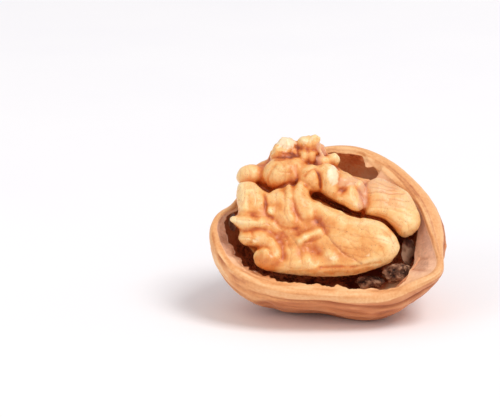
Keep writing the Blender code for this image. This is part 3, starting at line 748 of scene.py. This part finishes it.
def window(low, high):
    """The slices of the field between two corners."""
    start = np.clip(((np.array(low) - FIELD_LOW) / CELL).astype(int), 0, None)
    stop = ((np.array(high) - FIELD_LOW) / CELL).astype(int) + 2
    return tuple(slice(int(a), int(min(b, len(axis)))) for a, b, axis in zip(start, stop, axes))


def grid_points(part):
    """The field's points in a window, as one array of X, Y, Z."""
    return np.stack(np.meshgrid(*(axis[cut] for axis, cut in zip(axes, part)), indexing="ij"), axis=-1)


def add_body(field, centre, radii, turn, lean, softness):
    """An ellipsoid: the length of the scaled place less one, over how fast that grows."""
    reach = max(radii) + 1.5
    part = window(np.array(centre) - reach, np.array(centre) + reach)
    place = grid_points(part) - centre
    c, s = math.cos(math.radians(-turn)), math.sin(math.radians(-turn))
    place = np.stack(
        [c * place[..., 0] - s * place[..., 1], s * place[..., 0] + c * place[..., 1], place[..., 2]], axis=-1
    )
    place = leant(place, -lean)
    size = np.linalg.norm(place / radii, axis=-1)
    steepness = np.linalg.norm(place / np.square(radii), axis=-1)
    field[part] = soft_least(field[part], size * (size - 1) / np.maximum(steepness, 1e-6), softness)


def add_cushion(field, outline, level, slope, front, rounding, softness):
    """A cushion: the distance in from its outline and the height over its sloping level are the two legs of a
    right triangle, whose long side is one on the surface."""
    line = spline(outline, True)
    low, high = line.min(axis=0) - 1.6, line.max(axis=0) + 1.6
    middle = line.mean(axis=0)
    lift = abs(slope[1]) * (high[1] - low[1])
    part = window((*low, level - 7.0 - lift), (*high, level + front + 1.5 + lift))
    flat = np.stack(np.meshgrid(axes[0][part[0]], axes[1][part[1]], indexing="ij"), axis=-1)
    closed = np.vstack([line, line[:1]])
    away = distance_to_line(flat, closed) * np.where(inside_outline(flat, line), -1, 1)
    plane = level + slope[0] * (flat[..., 0] - middle[0]) + slope[1] * (flat[..., 1] - middle[1])
    height = axes[2][part[2]][None, None, :] - plane[..., None]
    across = np.clip(away + rounding, 0, None) / rounding
    rise = np.where(height > 0, height / front, height / 4.5)
    soft = np.sqrt(across[..., None] ** 2 + rise**2) - 1
    field[part] = soft_least(field[part], soft * min(rounding, front), softness)


def add_roll(field, line, softness):
    """A roll: the distance to its middle line less its radius there."""
    path = spline(line, False, 4)
    part = window(path[:, :3].min(axis=0) - 2.2, path[:, :3].max(axis=0) + 2.2)
    place = grid_points(part)
    nearest = np.full(place.shape[:-1], np.inf)
    for start, end in zip(path, path[1:]):
        run = end[:3] - start[:3]
        share = np.clip(((place - start[:3]) @ run) / max(run @ run, 1e-9), 0, 1)
        radius = start[3] + (end[3] - start[3]) * share
        away = np.linalg.norm(place - start[:3] - share[..., None] * run, axis=-1)
        nearest = np.minimum(nearest, away - radius)
    field[part] = soft_least(field[part], nearest, softness)


def kernel_field():
    """The kernel as a field that is negative inside: bodies, cushions and rolls joined, then grooves cut in."""
    field = np.full([len(axis) for axis in axes], 6.0)
    for body in BODIES:
        add_body(field, *body)
    for cushion in CUSHIONS.values():
        add_cushion(field, *cushion)
    for roll in ROLLS:
        add_roll(field, *roll)
    flat = np.stack(np.meshgrid(axes[0], axes[1], indexing="ij"), axis=-1)
    cut = np.zeros(flat.shape[:2])
    for line, depth, half_width in GROOVES:
        away = distance_to_line(flat, spline(line, False, 4)) / half_width
        cut = np.maximum(cut, depth * (0.60 * bell(away) + 0.40 * bell(away / 3.0)))
    swell = np.zeros(flat.shape[:2])
    for line, height, half_width in SWELLS:
        swell = swell + height * bell(distance_to_line(flat, spline(line, False, 3)) / half_width)
    level, (_, slope) = CUSHIONS["front_lobe"][1:3]
    above = axes[2][None, None, :] - (level + slope * (axes[1][None, :, None] - FRONT_MIDDLE))
    return field + cut[..., None] - swell[..., None] * ease(above / 1.8)


def box_mean(field, half):
    """The field's mean over a box of so many cells each way, by running sums along each axis in turn."""
    for axis in range(3):
        edges = [(0, 0)] * 3
        edges[axis] = (half + 1, half)
        running = np.cumsum(np.pad(field, edges, mode="edge"), axis=axis)
        top = np.take(running, np.arange(2 * half + 1, running.shape[axis]), axis=axis)
        low = np.take(running, np.arange(0, running.shape[axis] - 2 * half - 1), axis=axis)
        field = (top - low) / (2 * half + 1)
    return field


def read_field(field, points):
    """The field at points between its cells, in even shares of the eight corners around each."""
    place = np.clip((points - FIELD_LOW) / CELL, 0, np.array(field.shape) - 1.001)
    cell = place.astype(int)
    share = place - cell
    total = np.zeros(len(points))
    for corner in np.ndindex(2, 2, 2):
        at = cell + np.array(corner)
        weight = np.prod(np.where(np.array(corner) == 1, share, 1 - share), axis=-1)
        total += weight * field[at[:, 0], at[:, 1], at[:, 2]]
    return total


def slope_of(field, points):
    """The field's slope at points, across one cell each way."""
    steps = np.eye(3) * CELL
    slope = np.stack([read_field(field, points + s) - read_field(field, points - s) for s in steps], axis=-1)
    return slope / np.maximum(np.linalg.norm(slope, axis=-1, keepdims=True), 1e-9), np.linalg.norm(slope, axis=-1)


def part_pinches(field):
    """Keeps the skin from touching itself along an edge: on a cell's side whose two inside corners lie across from
    each other, a third corner is taken just inside as well. Done a few times, since one can lead to another. Then
    a corner that differs from all its six neighbours is made like them, so no speck or bubble is left."""
    for _ in range(PINCH_ROUNDS):
        for axis in range(3):
            for turn in range(2):
                sides = [[slice(None)] * 3 for _ in range(4)]
                for side, (b, c) in zip(sides, ((0, turn), (1, 1 - turn), (0, 1 - turn), (1, turn))):
                    side[(axis + 1) % 3] = slice(b, b - 1 or None)
                    side[(axis + 2) % 3] = slice(c, c - 1 or None)
                first, across, third, fourth = (field[tuple(side)] for side in sides)
                third[(first < 0) & (across < 0) & (third >= 0) & (fourth >= 0)] = JUST_INSIDE
    inside = field < 0
    middle = slice(1, -1)
    beside = sum(np.roll(inside, step, axis).astype(int) for axis in range(3) for step in (-1, 1))[(middle,) * 3]
    inner = field[(middle,) * 3]
    lone = (inner < 0) & (beside == 0)
    bubble = (inner >= 0) & (beside == 6)
    inner[lone] = -JUST_INSIDE
    inner[bubble] = JUST_INSIDE


def skin_of(field):
    """The skin where the field is zero. Each cell that the skin passes through has one point, the mean of
    where the skin crosses the cell's edges, and each crossed edge joins the four cells round it by a quad."""
    inside = field < 0
    shape = np.array(field.shape)
    stride = np.array((shape[1] * shape[2], shape[2], 1))
    total = np.zeros((field.size, 3))
    count = np.zeros(field.size)
    quads = []
    for axis in range(3):
        low = tuple(slice(0, -1) if i == axis else slice(1, -1) for i in range(3))
        high = tuple(slice(1, None) if i == axis else slice(1, -1) for i in range(3))
        at = np.argwhere(inside[low] != inside[high])
        at = at + np.array([0 if i == axis else 1 for i in range(3)])
        start = at @ stride
        first, second = field.ravel()[start], field.ravel()[start + stride[axis]]
        crossing = at.astype(float)
        crossing[:, axis] += first / (first - second)
        b, c = (axis + 1) % 3, (axis + 2) % 3
        cells = np.stack([start, start - stride[b], start - stride[b] - stride[c], start - stride[c]], axis=-1)
        for corner in range(4):
            np.add.at(total, cells[:, corner], crossing)
            np.add.at(count, cells[:, corner], 1)
        quads.append(np.where((first < 0)[:, None], cells, cells[:, ::-1]))
    quads = np.vstack(quads)
    used, quads = np.unique(quads, return_inverse=True)
    points = total[used] / count[used][:, None] * CELL + FIELD_LOW
    return points, quads.reshape(-1, 4)


def patch_weight(points, patches):
    """How strongly soft oval patches cover points: the strongest bell of the scaled distance from each centre."""
    weight = np.zeros(len(points))
    for (x, y), (wide, high), strength in patches:
        size = np.hypot((points[:, 0] - x) / wide, (points[:, 1] - y) / high)
        weight = np.maximum(weight, strength * (1 - ease((size - 0.7) / 0.7)))
    return weight


def ragged(points, height, size, seed):
    """Shifts that make a patch's edge ragged: the same random wave along X, Y and Z."""
    return height * np.stack([waves(points, size, seed)] * 3, axis=-1)


def press_into_shell(inside):
    """Keeps points of the rim frame clear of the shell: below the rim, a point nearer than the clearance to the
    inside wall is drawn in, at its own level, towards the line from the rim's centre to the keel."""
    depth = SHELL_DEPTH - WALL
    level = np.clip(inside[:, 2], -0.93 * depth, None)
    sunk = np.clip(-level / depth, 0.0, 1.0)
    down = np.arcsin(sunk) * 2 / math.pi
    keel = np.array(KEEL_SHIFT) * sunk[:, None] ** 2
    across = inside[:, :2] - keel
    degrees = np.degrees(np.arctan2(across[:, 1], across[:, 0]))
    edge = round_curve(RIM_OUTLINE, degrees) - round_curve(RIM_BREADTH, degrees)
    swelling = round_curve(SWELLING, degrees) + round_curve(UNDERCUT, degrees)
    wall = edge * np.sqrt(1 - sunk**2) ** ROUNDNESS + swelling * np.sin(math.pi * down**0.6)
    wall = np.minimum(wall, edge + LIP_RUN * np.clip(-level - LIP_THICKNESS, 0, None))
    room = wall - CLEARANCE * (1 + 1.2 * sunk**2) + OVERHANG * np.clip(level + 0.8, 0, None)
    reach = np.hypot(across[:, 0], across[:, 1])
    shrink = np.where(level < HOLLOW_LIP, np.minimum(1.0, room / np.maximum(reach, 1e-6)), 1.0)
    return np.column_stack([across * shrink[:, None] + keel, level])


def make_kernel(material):
    """The kernel half: the field's skin, with fine veins and wrinkles raised on it, set in the shell."""
    field = kernel_field()
    part_pinches(field)
    points, quads = skin_of(field)
    for _ in range(2):
        normal, _ = slope_of(field, points)
        points = points - normal * np.clip(read_field(field, points), -0.1, 0.1)[:, None]
    # Painted shade: the field averaged round each point makes the skin darker in hollows and creases and paler
    # where it is proud.
    shallow = np.clip(field, -FOLD_REACH, FOLD_REACH)
    fine, broad = box_mean(shallow, FINE_BOX), box_mean(shallow, BROAD_BOX)
    painted_shade_and_tone = 0.5 + 1.1 * read_field(fine, points) + 0.45 * read_field(broad, points)
    painted_shade_and_tone = np.where(painted_shade_and_tone > 0.6, 0.6 + 0.5 * (painted_shade_and_tone - 0.6), painted_shade_and_tone)
    normal, _ = slope_of(box_mean(field, 1), points)
    facing = ease(normal[:, 2] * 2.0)
    flat = points[:, :2]
    vein_and_groove_shade, sink = np.zeros(len(points)), np.zeros(len(points))
    wander = np.stack([waves(points, 1.3, 61), waves(points, 1.3, 62)], axis=-1) * VEIN_WANDER
    for line, depth, half_width, darkness in VEINS:
        close = bell(distance_to_line(flat + wander, spline(line, False, 3)) / half_width) * facing
        vein_and_groove_shade, sink = np.maximum(vein_and_groove_shade, darkness * close), np.maximum(sink, depth * close)
    # Painted shade along the grooves, laid in with the veins' own darkness.
    for line, depth, half_width in GROOVES:
        close = bell(distance_to_line(flat, spline(line, False, 3)) / (half_width * 1.1)) * facing
        vein_and_groove_shade = np.maximum(vein_and_groove_shade, min(depth + 0.2, 0.9) * GROOVE_SHADE * close)
    calm = patch_weight(points, PADDLES)
    long_way = points * np.array((1.0, 0.55, 0.8))
    wrinkles = WRINKLE * rough_waves(long_way, 2.2, 71) + PLEAT * (0.4 - np.abs(waves(long_way, 1.1, 73)))
    wrinkles = wrinkles + PUCKER * waves(points, 0.6, 75)
    broken = CRUMBLE * rough_waves(points, 1.0, 79) + FINE_CRUMBLE * waves(points, 0.6, 80)
    broken = broken * ease((points[:, 1] - BROKEN_FROM) / 1.5)
    ripples = RIPPLE * rough_waves(points * np.array((0.8, 1.2, 1.0)), 1.5, 77)
    points = points + normal * ((1 - calm) * wrinkles + broken - sink + ripples)[:, None]
    # Bare flesh and the painted highlights show at the front only, and flesh deeper in where the kernel is broken.
    flesh_and_highlight_depth = np.where(points[:, 1] > BROKEN_FROM, 9.0, 3.0)
    notes = {
        "painted_shade_and_tone": np.clip(painted_shade_and_tone + 0.06 * calm, 0.28, 1),
        "vein_and_groove_shade": vein_and_groove_shade,
        "flesh_and_highlight": patch_weight(points + ragged(points, 0.5, 0.8, 81), FLESH_AND_HIGHLIGHTS)
        * ease((points[:, 2] + flesh_and_highlight_depth) / 2.5),
        "bloom": patch_weight(points + ragged(points, 0.6, 1.2, 83), BLOOM),
        "deep_orange_and_shade": patch_weight(points + ragged(points, 0.5, 1.0, 85), DEEP_ORANGE_AND_SHADE),
    }
    inside = press_into_shell(face_to_rim(out_of_sight_lines(points)))
    return new_piece("walnut_kernel", rim_to_world(inside), [quads], material, notes, "kernel_half")


# ---------------------------------------------------------------- scraps and crumbs


def make_scrap(name, centre, radii, turn, lean, bend, rough, seed, material, node):
    """A lump or a flake in the face frame: a ball of rings drawn out to its radii, its outline and skin
    roughened by random waves, bent along its height, turned about Y and leant about X."""
    around, rows = 72, 46
    up = ((np.arange(rows) + 1) / (rows + 1) * math.pi - math.pi / 2)[:, None]
    turned = (np.arange(around) * 2 * math.pi / around)[None, :]
    ball = np.stack([np.cos(up) * np.cos(turned), np.sin(up) + 0 * turned, np.cos(up) * np.sin(turned)], axis=-1)
    ball = np.vstack([ball.reshape(-1, 3), [[0, -1, 0], [0, 1, 0]]])
    size = 1 + rough * rough_waves(ball * np.array(radii), 1.3, seed, 4)
    lump = ball * np.array(radii) * size[:, None]
    lump[:, 2] += bend * (ball[:, 0] ** 2 - 0.4) + 0.3 * bend * np.sin(3 * ball[:, 1] + ball[:, 0])
    c, s = math.cos(math.radians(turn)), math.sin(math.radians(turn))
    lump = np.stack([c * lump[:, 0] + s * lump[:, 2], lump[:, 1], c * lump[:, 2] - s * lump[:, 0]], axis=-1)
    points = face_to_world(leant(lump, lean) + centre)
    ring = np.arange(around)
    nxt = (ring + 1) % around
    low = np.arange(rows - 1)[:, None] * around
    quads = np.stack([low + ring, low + around + ring, low + around + nxt, low + nxt], axis=-1).reshape(-1, 4)
    last = (rows - 1) * around
    caps = np.vstack(
        [
            np.stack([np.full(around, rows * around), ring, nxt], axis=-1),
            np.stack([np.full(around, rows * around + 1), last + nxt, last + ring], axis=-1),
        ]
    )
    # Painted shade and tone: darker in the roughened skin's dents, paler on its bumps.
    notes = {"painted_shade_and_tone": np.clip(0.5 + (size - 1) / max(rough, 0.01) * 0.45, 0, 1)}
    return new_piece(name, points, [quads, caps], material, notes, node)


# ---------------------------------------------------------------- pieces and materials


def new_piece(name, points, faces, material, notes, node):
    """A mesh from world millimetres, with its notes as point attributes, riding on the frame's one body."""
    mesh = bpy.data.meshes.new(name)
    corners = np.concatenate([block.ravel() for block in faces]).astype(np.int32)
    sizes = np.concatenate([np.full(len(block), block.shape[1]) for block in faces])
    mesh.vertices.add(len(points))
    mesh.vertices.foreach_set("co", (points * MM).astype(np.float32).ravel())
    mesh.loops.add(len(corners))
    mesh.loops.foreach_set("vertex_index", corners)
    mesh.polygons.add(len(sizes))
    mesh.polygons.foreach_set("loop_start", (np.cumsum(sizes) - sizes).astype(np.int32))
    mesh.update(calc_edges=True)
    mesh.validate()
    mesh.shade_smooth()
    for note, values in notes.items():
        mesh.attributes.new(note, "FLOAT", "POINT").data.foreach_set("value", values.astype(np.float32))
    mesh.materials.append(material)
    piece = bpy.data.objects.new(name, mesh)
    bpy.context.scene.collection.objects.link(piece)
    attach(piece, "root")
    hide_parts(node)
    return piece


class Finish:
    """A material's node tree, with short words for the nodes that a finish is built from."""

    COLOUR_INPUTS, COLOUR_OUTPUT = (0, 6, 7), 2  # the Mix node's sockets when it blends colours

    def __init__(self, name, roughness, specular):
        self.material = bpy.data.materials.new(name)
        self.material.use_nodes = True
        self.tree = self.material.node_tree
        self.shader = self.tree.nodes["Principled BSDF"]
        self.shader.inputs["Roughness"].default_value = roughness
        self.shader.inputs["Specular IOR Level"].default_value = specular
        self.place = self.tree.nodes.new("ShaderNodeTexCoord").outputs["Object"]

    def feed(self, socket, value):
        """Links a socket to another's output, or gives it a plain value."""
        if isinstance(value, bpy.types.NodeSocket):
            self.tree.links.new(value, socket)
        else:
            socket.default_value = value

    def note(self, name):
        """One of the mesh's own attributes."""
        node = self.tree.nodes.new("ShaderNodeAttribute")
        node.attribute_name = name
        return node.outputs["Fac"]

    def stretched(self, scale):
        """Object coordinates scaled along each axis: a pattern is drawn out where the scale is small."""
        node = self.tree.nodes.new("ShaderNodeMapping")
        self.feed(node.inputs["Vector"], self.place)
        node.inputs["Scale"].default_value = scale
        return node.outputs["Vector"]

    def noise(self, size, detail=3.0, rough=0.5, vector=None, twist=0.0):
        """Noise about `size` millimetres across."""
        node = self.tree.nodes.new("ShaderNodeTexNoise")
        self.feed(node.inputs["Vector"], self.place if vector is None else vector)
        node.inputs["Scale"].default_value = 1000.0 / size
        node.inputs["Detail"].default_value = detail
        node.inputs["Roughness"].default_value = rough
        node.inputs["Distortion"].default_value = twist
        return node.outputs["Fac"]

    def sum(self, operation, a, b, c=None):
        """One step of arithmetic on two or three values."""
        node = self.tree.nodes.new("ShaderNodeMath")
        node.operation = operation
        for socket, value in zip(node.inputs, (a, b) if c is None else (a, b, c)):
            self.feed(socket, value)
        return node.outputs["Value"]

    def band(self, value, low, high, out_low=0.0, out_high=1.0):
        """The value taken from low..high to out_low..out_high, and held there."""
        node = self.tree.nodes.new("ShaderNodeMapRange")
        for socket, number in zip(node.inputs, (value, low, high, out_low, out_high)):
            self.feed(socket, number)
        return node.outputs["Result"]

    def ramp(self, value, stops):
        """Colours at places from 0 to 1, with even blends between."""
        node = self.tree.nodes.new("ShaderNodeValToRGB")
        self.feed(node.inputs["Fac"], value)
        ramp = node.color_ramp
        while len(ramp.elements) < len(stops):
            ramp.elements.new(0.5)
        for element, (place, colour) in zip(ramp.elements, stops):
            element.position = place
            element.color = (*linear(colour), 1.0)
        return node.outputs["Color"]

    def blend(self, share, under, over):
        """A share of one colour laid over another."""
        node = self.tree.nodes.new("ShaderNodeMix")
        node.data_type = "RGBA"
        factor, low, high = (node.inputs[at] for at in self.COLOUR_INPUTS)
        self.feed(factor, share)
        for socket, colour in ((low, under), (high, over)):
            self.feed(socket, colour if isinstance(colour, bpy.types.NodeSocket) else (*linear(colour), 1.0))
        return node.outputs[self.COLOUR_OUTPUT]

    def bump(self, height, distance, strength, normal=None):
        """Fine relief, so many millimetres high."""
        node = self.tree.nodes.new("ShaderNodeBump")
        self.feed(node.inputs["Height"], height)
        node.inputs["Distance"].default_value = distance * MM
        node.inputs["Strength"].default_value = strength
        if normal is not None:
            self.feed(node.inputs["Normal"], normal)
        return node.outputs["Normal"]

    def wear(self, colour, roughness, normal):
        """Puts the finished values on the shader."""
        self.feed(self.shader.inputs["Base Color"], colour)
        self.feed(self.shader.inputs["Roughness"], roughness)
        self.feed(self.shader.inputs["Normal"], normal)
        return self.material


def linear(colour):
    """Colours are written as display values from 0 to 255."""
    shares = [c / 255 for c in colour]
    return [s / 12.92 if s <= 0.04045 else ((s + 0.055) / 1.055) ** 2.4 for s in shares]


def kernel_skin():
    """Thin papery skin over oily flesh: golden, with painted shade that makes the folds and grooves deep orange
    and the proud parts paler, darker veins, pale flesh where it is broken, painted highlights on a few bumps, and
    a greyish pink bloom near the dividing wall."""
    skin = Finish("kernel_skin", 0.42, 0.5)
    mottle = skin.noise(3.5, 4, 0.55, twist=0.4)
    fleck = skin.noise(0.7, 3, 0.6)
    # Painted shade from the cavity note: creases go deep orange, proud parts pale gold.
    painted_shade_level = skin.sum("MULTIPLY_ADD", skin.note("painted_shade_and_tone"), 1.25, -0.15)
    height = skin.sum("MULTIPLY_ADD", skin.sum("SUBTRACT", mottle, 0.5), 0.50, painted_shade_level)
    height = skin.sum("MULTIPLY_ADD", skin.sum("SUBTRACT", fleck, 0.5), 0.24, height)
    # Deep orange patches, one of them painted shade on the lower left knob.
    height = skin.sum("MULTIPLY_ADD", skin.note("deep_orange_and_shade"), -0.30, height)
    colour = skin.ramp(
        height,
        ((0.08, (142, 56, 16)), (0.24, (204, 100, 36)), (0.40, (231, 144, 72)), (0.55, (245, 176, 104)),
         (0.70, (253, 204, 138)), (0.90, (255, 224, 170))),
    )
    threads = skin.noise(2.0, 3, 0.5, skin.stretched((1.0, 0.4, 0.4)), 1.5)
    thread = skin.band(skin.sum("ABSOLUTE", skin.sum("SUBTRACT", threads, 0.5), 0.0), 0.0, 0.022, 0.30, 0.0)
    colour = skin.blend(thread, colour, (196, 112, 60))
    colour = skin.blend(skin.sum("MULTIPLY", skin.note("bloom"), skin.band(fleck, 0.3, 0.7, 0.45, 0.9)), colour,
                        (232, 172, 138))
    # The veins' colour, and painted shade along the grooves, in orange brown.
    colour = skin.blend(skin.band(skin.note("vein_and_groove_shade"), 0.1, 1.0, 0.0, 0.60), colour, (190, 88, 30))
    # White flesh where the skin is broken, and painted highlights on a few bumps, in the same cream.
    flesh_and_highlight_share = skin.sum("MULTIPLY_ADD", skin.sum("SUBTRACT", fleck, 0.5), 1.6, skin.note("flesh_and_highlight"))
    flesh_and_highlight_share = skin.sum("MULTIPLY", skin.band(flesh_and_highlight_share, 0.25, 0.80, 0.0, 0.90), skin.band(skin.note("flesh_and_highlight"), 0.0, 0.15))
    colour = skin.blend(flesh_and_highlight_share, colour, (255, 232, 196))
    specks = skin.band(skin.noise(0.45, 1, 0.5), 0.70, 0.76, 0.0, 0.45)
    colour = skin.blend(specks, colour, (150, 76, 36))
    grain = skin.bump(skin.noise(0.35, 3, 0.6), 0.10, 0.35)
    grain = skin.bump(skin.noise(1.4, 3, 0.55, skin.stretched((1.0, 0.5, 0.5))), 0.35, 0.40, grain)
    skin.shader.inputs["Subsurface Weight"].default_value = 0.10
    skin.shader.inputs["Subsurface Radius"].default_value = (0.0016, 0.0007, 0.0003)
    skin.shader.inputs["Subsurface Scale"].default_value = 1.0
    return skin.wear(colour, skin.band(fleck, 0.25, 0.75, 0.27, 0.46), grain)


def shell_wood():
    """Woody shell: brown and furrowed outside, pale cream where it broke, reddish brown and satin inside, with
    painted shade in the outer furrows, in the inner folds, deep in the bowl and under the kernel, and painted
    light on the left inside.
    """
    wood = Finish("shell_wood", 0.55, 0.35)
    grain = wood.noise(1.5, 5, 0.6, wood.stretched((0.22, 1.0, 1.0)), 0.5)
    cloud = wood.noise(6.0, 4, 0.55)
    fine = wood.noise(0.5, 3, 0.6)
    # The outside's browns follow the grain and the painted shade in the furrows.
    height = wood.sum("MULTIPLY_ADD", wood.sum("SUBTRACT", grain, 0.5), 0.9, wood.note("painted_shade_and_tone"))
    height = wood.sum("MULTIPLY_ADD", wood.sum("SUBTRACT", cloud, 0.5), 0.35, height)
    outside = wood.ramp(
        height,
        ((0.08, (138, 74, 42)), (0.35, (190, 112, 68)), (0.6, (214, 138, 90)), (0.9, (232, 166, 116))),
    )
    spread = wood.sum("SUBTRACT", wood.sum("ADD", fine, cloud), 1.0)  # random, about 0
    # The inside's reddish browns, darkened by the painted shade in the folds, deep in the bowl and under the
    # kernel.
    painted_shade_and_tone = wood.ramp(
        wood.sum("MULTIPLY_ADD", spread, 0.7, wood.note("painted_shade_and_tone")),
        ((0.0, (112, 46, 24)), (0.25, (240, 146, 96)), (0.5, (255, 188, 136)), (0.8, (255, 208, 166))),
    )
    broken = wood.ramp(
        wood.sum("MULTIPLY_ADD", wood.sum("SUBTRACT", fine, 0.5), 0.5, wood.note("painted_shade_and_tone")),
        ((0.2, (206, 126, 74)), (0.5, (235, 166, 107)), (0.8, (251, 200, 146))),
    )
    colour = wood.blend(wood.note("inside"), outside, painted_shade_and_tone)
    # A rosy lining near the rim inside; on the left inside it is partly painted light.
    colour = wood.blend(wood.sum("MULTIPLY", wood.note("blush_and_painted_light"), wood.note("inside")), colour, (206, 150, 118))
    edge = wood.sum("MULTIPLY_ADD", wood.sum("SUBTRACT", fine, 0.5), 0.5, wood.note("fresh"))
    colour = wood.blend(wood.band(edge, 0.25, 0.75), colour, broken)
    rosy = wood.sum("MULTIPLY", wood.note("fresh"), 0.9)
    rosy = wood.sum("MULTIPLY", wood.band(wood.note("blush_and_painted_light"), 0.0, 0.5), rosy)
    satin = wood.ramp(
        wood.sum("MULTIPLY_ADD", spread, 0.7, wood.note("blush_and_painted_light")),
        ((0.35, (250, 204, 168)), (0.6, (234, 180, 148)), (0.9, (196, 146, 124))),
    )
    colour = wood.blend(rosy, colour, satin)
    colour = wood.blend(wood.band(wood.note("line"), 0.05, 0.9, 0.0, 0.8), colour, (166, 92, 54))
    rough = wood.bump(wood.noise(0.3, 3, 0.6), 0.08, 0.35)
    rough = wood.bump(grain, 0.30, 0.45, rough)
    return wood.wear(colour, wood.band(fine, 0.25, 0.75, 0.42, 0.66), rough)


def dry_membrane():
    """Papery dividing wall: grey-brown with paler streaks, darker in its dents and paler on its bumps as painted
    shade and tone, and a faint sheen.
    """
    paper = Finish("dry_membrane", 0.5, 0.4)
    streaks = paper.noise(0.8, 4, 0.6, paper.stretched((1.0, 0.35, 0.35)))
    height = paper.sum("MULTIPLY_ADD", paper.sum("SUBTRACT", streaks, 0.5), 0.9, paper.note("painted_shade_and_tone"))
    colour = paper.ramp(height, ((0.2, (84, 44, 34)), (0.5, (136, 88, 66)), (0.8, (190, 146, 118))))
    return paper.wear(colour, paper.band(streaks, 0.3, 0.7, 0.38, 0.6), paper.bump(streaks, 0.2, 0.5))


def dark_pith():
    """Dried pith: dark brown crumbs flecked with tan, darker in the dents and paler on the bumps as painted shade
    and tone.
    """
    pith = Finish("dark_pith", 0.7, 0.3)
    lumps = pith.noise(0.7, 5, 0.65)
    flecks = pith.noise(0.35, 2, 0.5)
    height = pith.sum("MULTIPLY_ADD", pith.sum("SUBTRACT", lumps, 0.5), 1.2, pith.note("painted_shade_and_tone"))
    colour = pith.ramp(height, ((0.2, (44, 22, 16)), (0.5, (128, 86, 64)), (0.8, (204, 160, 128))))
    colour = pith.blend(pith.band(flecks, 0.62, 0.7, 0.0, 0.6), colour, (214, 170, 140))
    return pith.wear(colour, pith.band(lumps, 0.3, 0.7, 0.55, 0.85), pith.bump(lumps, 0.4, 0.8))


# ---------------------------------------------------------------- stage


def make_floor():
    """A plain pale floor, wide enough to run out of sight."""
    mesh = bpy.data.meshes.new("pale_floor")
    wide = 6.0
    mesh.from_pydata([(-wide, -wide, 0), (wide, -wide, 0), (wide, wide, 0), (-wide, wide, 0)], [], [(0, 1, 2, 3)])
    floor = bpy.data.objects.new("pale_floor", mesh)
    bpy.context.scene.collection.objects.link(floor)
    pale = Finish("pale_paper", 0.8, 0.2)
    cloud = pale.ramp(pale.noise(60), ((0.3, (251, 250, 254)), (0.7, (253, 252, 255))))
    pale.feed(pale.shader.inputs["Base Color"], cloud)
    mesh.materials.append(pale.material)


def make_light(name, place, width, power, colour=(1.0, 1.0, 1.0)):
    """A soft square light at a place in millimetres that faces the nut."""
    lamp = bpy.data.lights.new(name, "AREA")
    lamp.size = width * MM
    lamp.energy = power
    lamp.color = colour
    light = bpy.data.objects.new(name, lamp)
    bpy.context.scene.collection.objects.link(light)
    light.location = Vector(place) * MM
    aim = Vector((0.0, 0.0, 0.012)) - light.location
    light.rotation_euler = aim.to_track_quat("-Z", "Y").to_euler()


def make_stage():
    """The floor, an even white room, a large lamp above on the right and a weaker one in front on the left."""
    make_floor()
    world = bpy.data.worlds.new("white_room")
    world.use_nodes = True
    world.node_tree.nodes["Background"].inputs["Color"].default_value = (1.0, 0.995, 1.0, 1.0)
    world.node_tree.nodes["Background"].inputs["Strength"].default_value = 0.60
    bpy.context.scene.world = world
    make_light("key_light", (900, -450, 1700), 900, 20.0, (1.0, 0.98, 0.95))
    make_light("left_fill", (-1300, -1000, 800), 1000, 5.0, (1.0, 0.97, 0.96))
    bpy.context.scene.view_settings.view_transform = "Standard"


def make_camera():
    """The camera looks along the face frame's -Z, past the rim's centre on its left."""
    lens = bpy.data.cameras.new("camera")
    lens.lens = LENS
    lens.sensor_width = 36.0
    lens.clip_start = 0.01
    lens.clip_end = 20.0
    camera = bpy.data.objects.new("camera", lens)
    bpy.context.scene.collection.objects.link(camera)
    place = face_to_world(np.array((EYE_OFFSET[0], EYE_OFFSET[1], EYE_DISTANCE)))
    camera.location = Vector(place) * MM
    camera.rotation_euler = (math.radians(FACE_LEAN), 0.0, 0.0)
    bpy.context.scene.camera = camera


make_camera()
make_stage()
make_shell(shell_wood())
make_kernel(kernel_skin())
membrane, pith = dry_membrane(), dark_pith()
make_scrap("dividing_wall_shard", (15.0, -5.9, -0.5), (1.7, 2.7, 0.28), 42, -15, 0.5, 0.16, 91, membrane,
           "septum_shard")
make_scrap("dividing_wall_scrap", (-16.9, -0.6, -2.0), (1.1, 1.7, 0.25), -50, -10, 0.3, 0.16, 95, membrane,
           "septum_scrap_left")
make_scrap("pith_crumb_at_tip", (12.7, -9.6, 4.4), (2.4, 1.7, 1.7), 20, 0, 0.0, 0.30, 101, pith,
           "pith_crumb_tip")
make_scrap("pith_crumb_in_front", (8.0, -11.3, 5.0), (2.7, 1.2, 1.5), 4, 0, 0.0, 0.30, 105, pith,
           "pith_crumb_front")
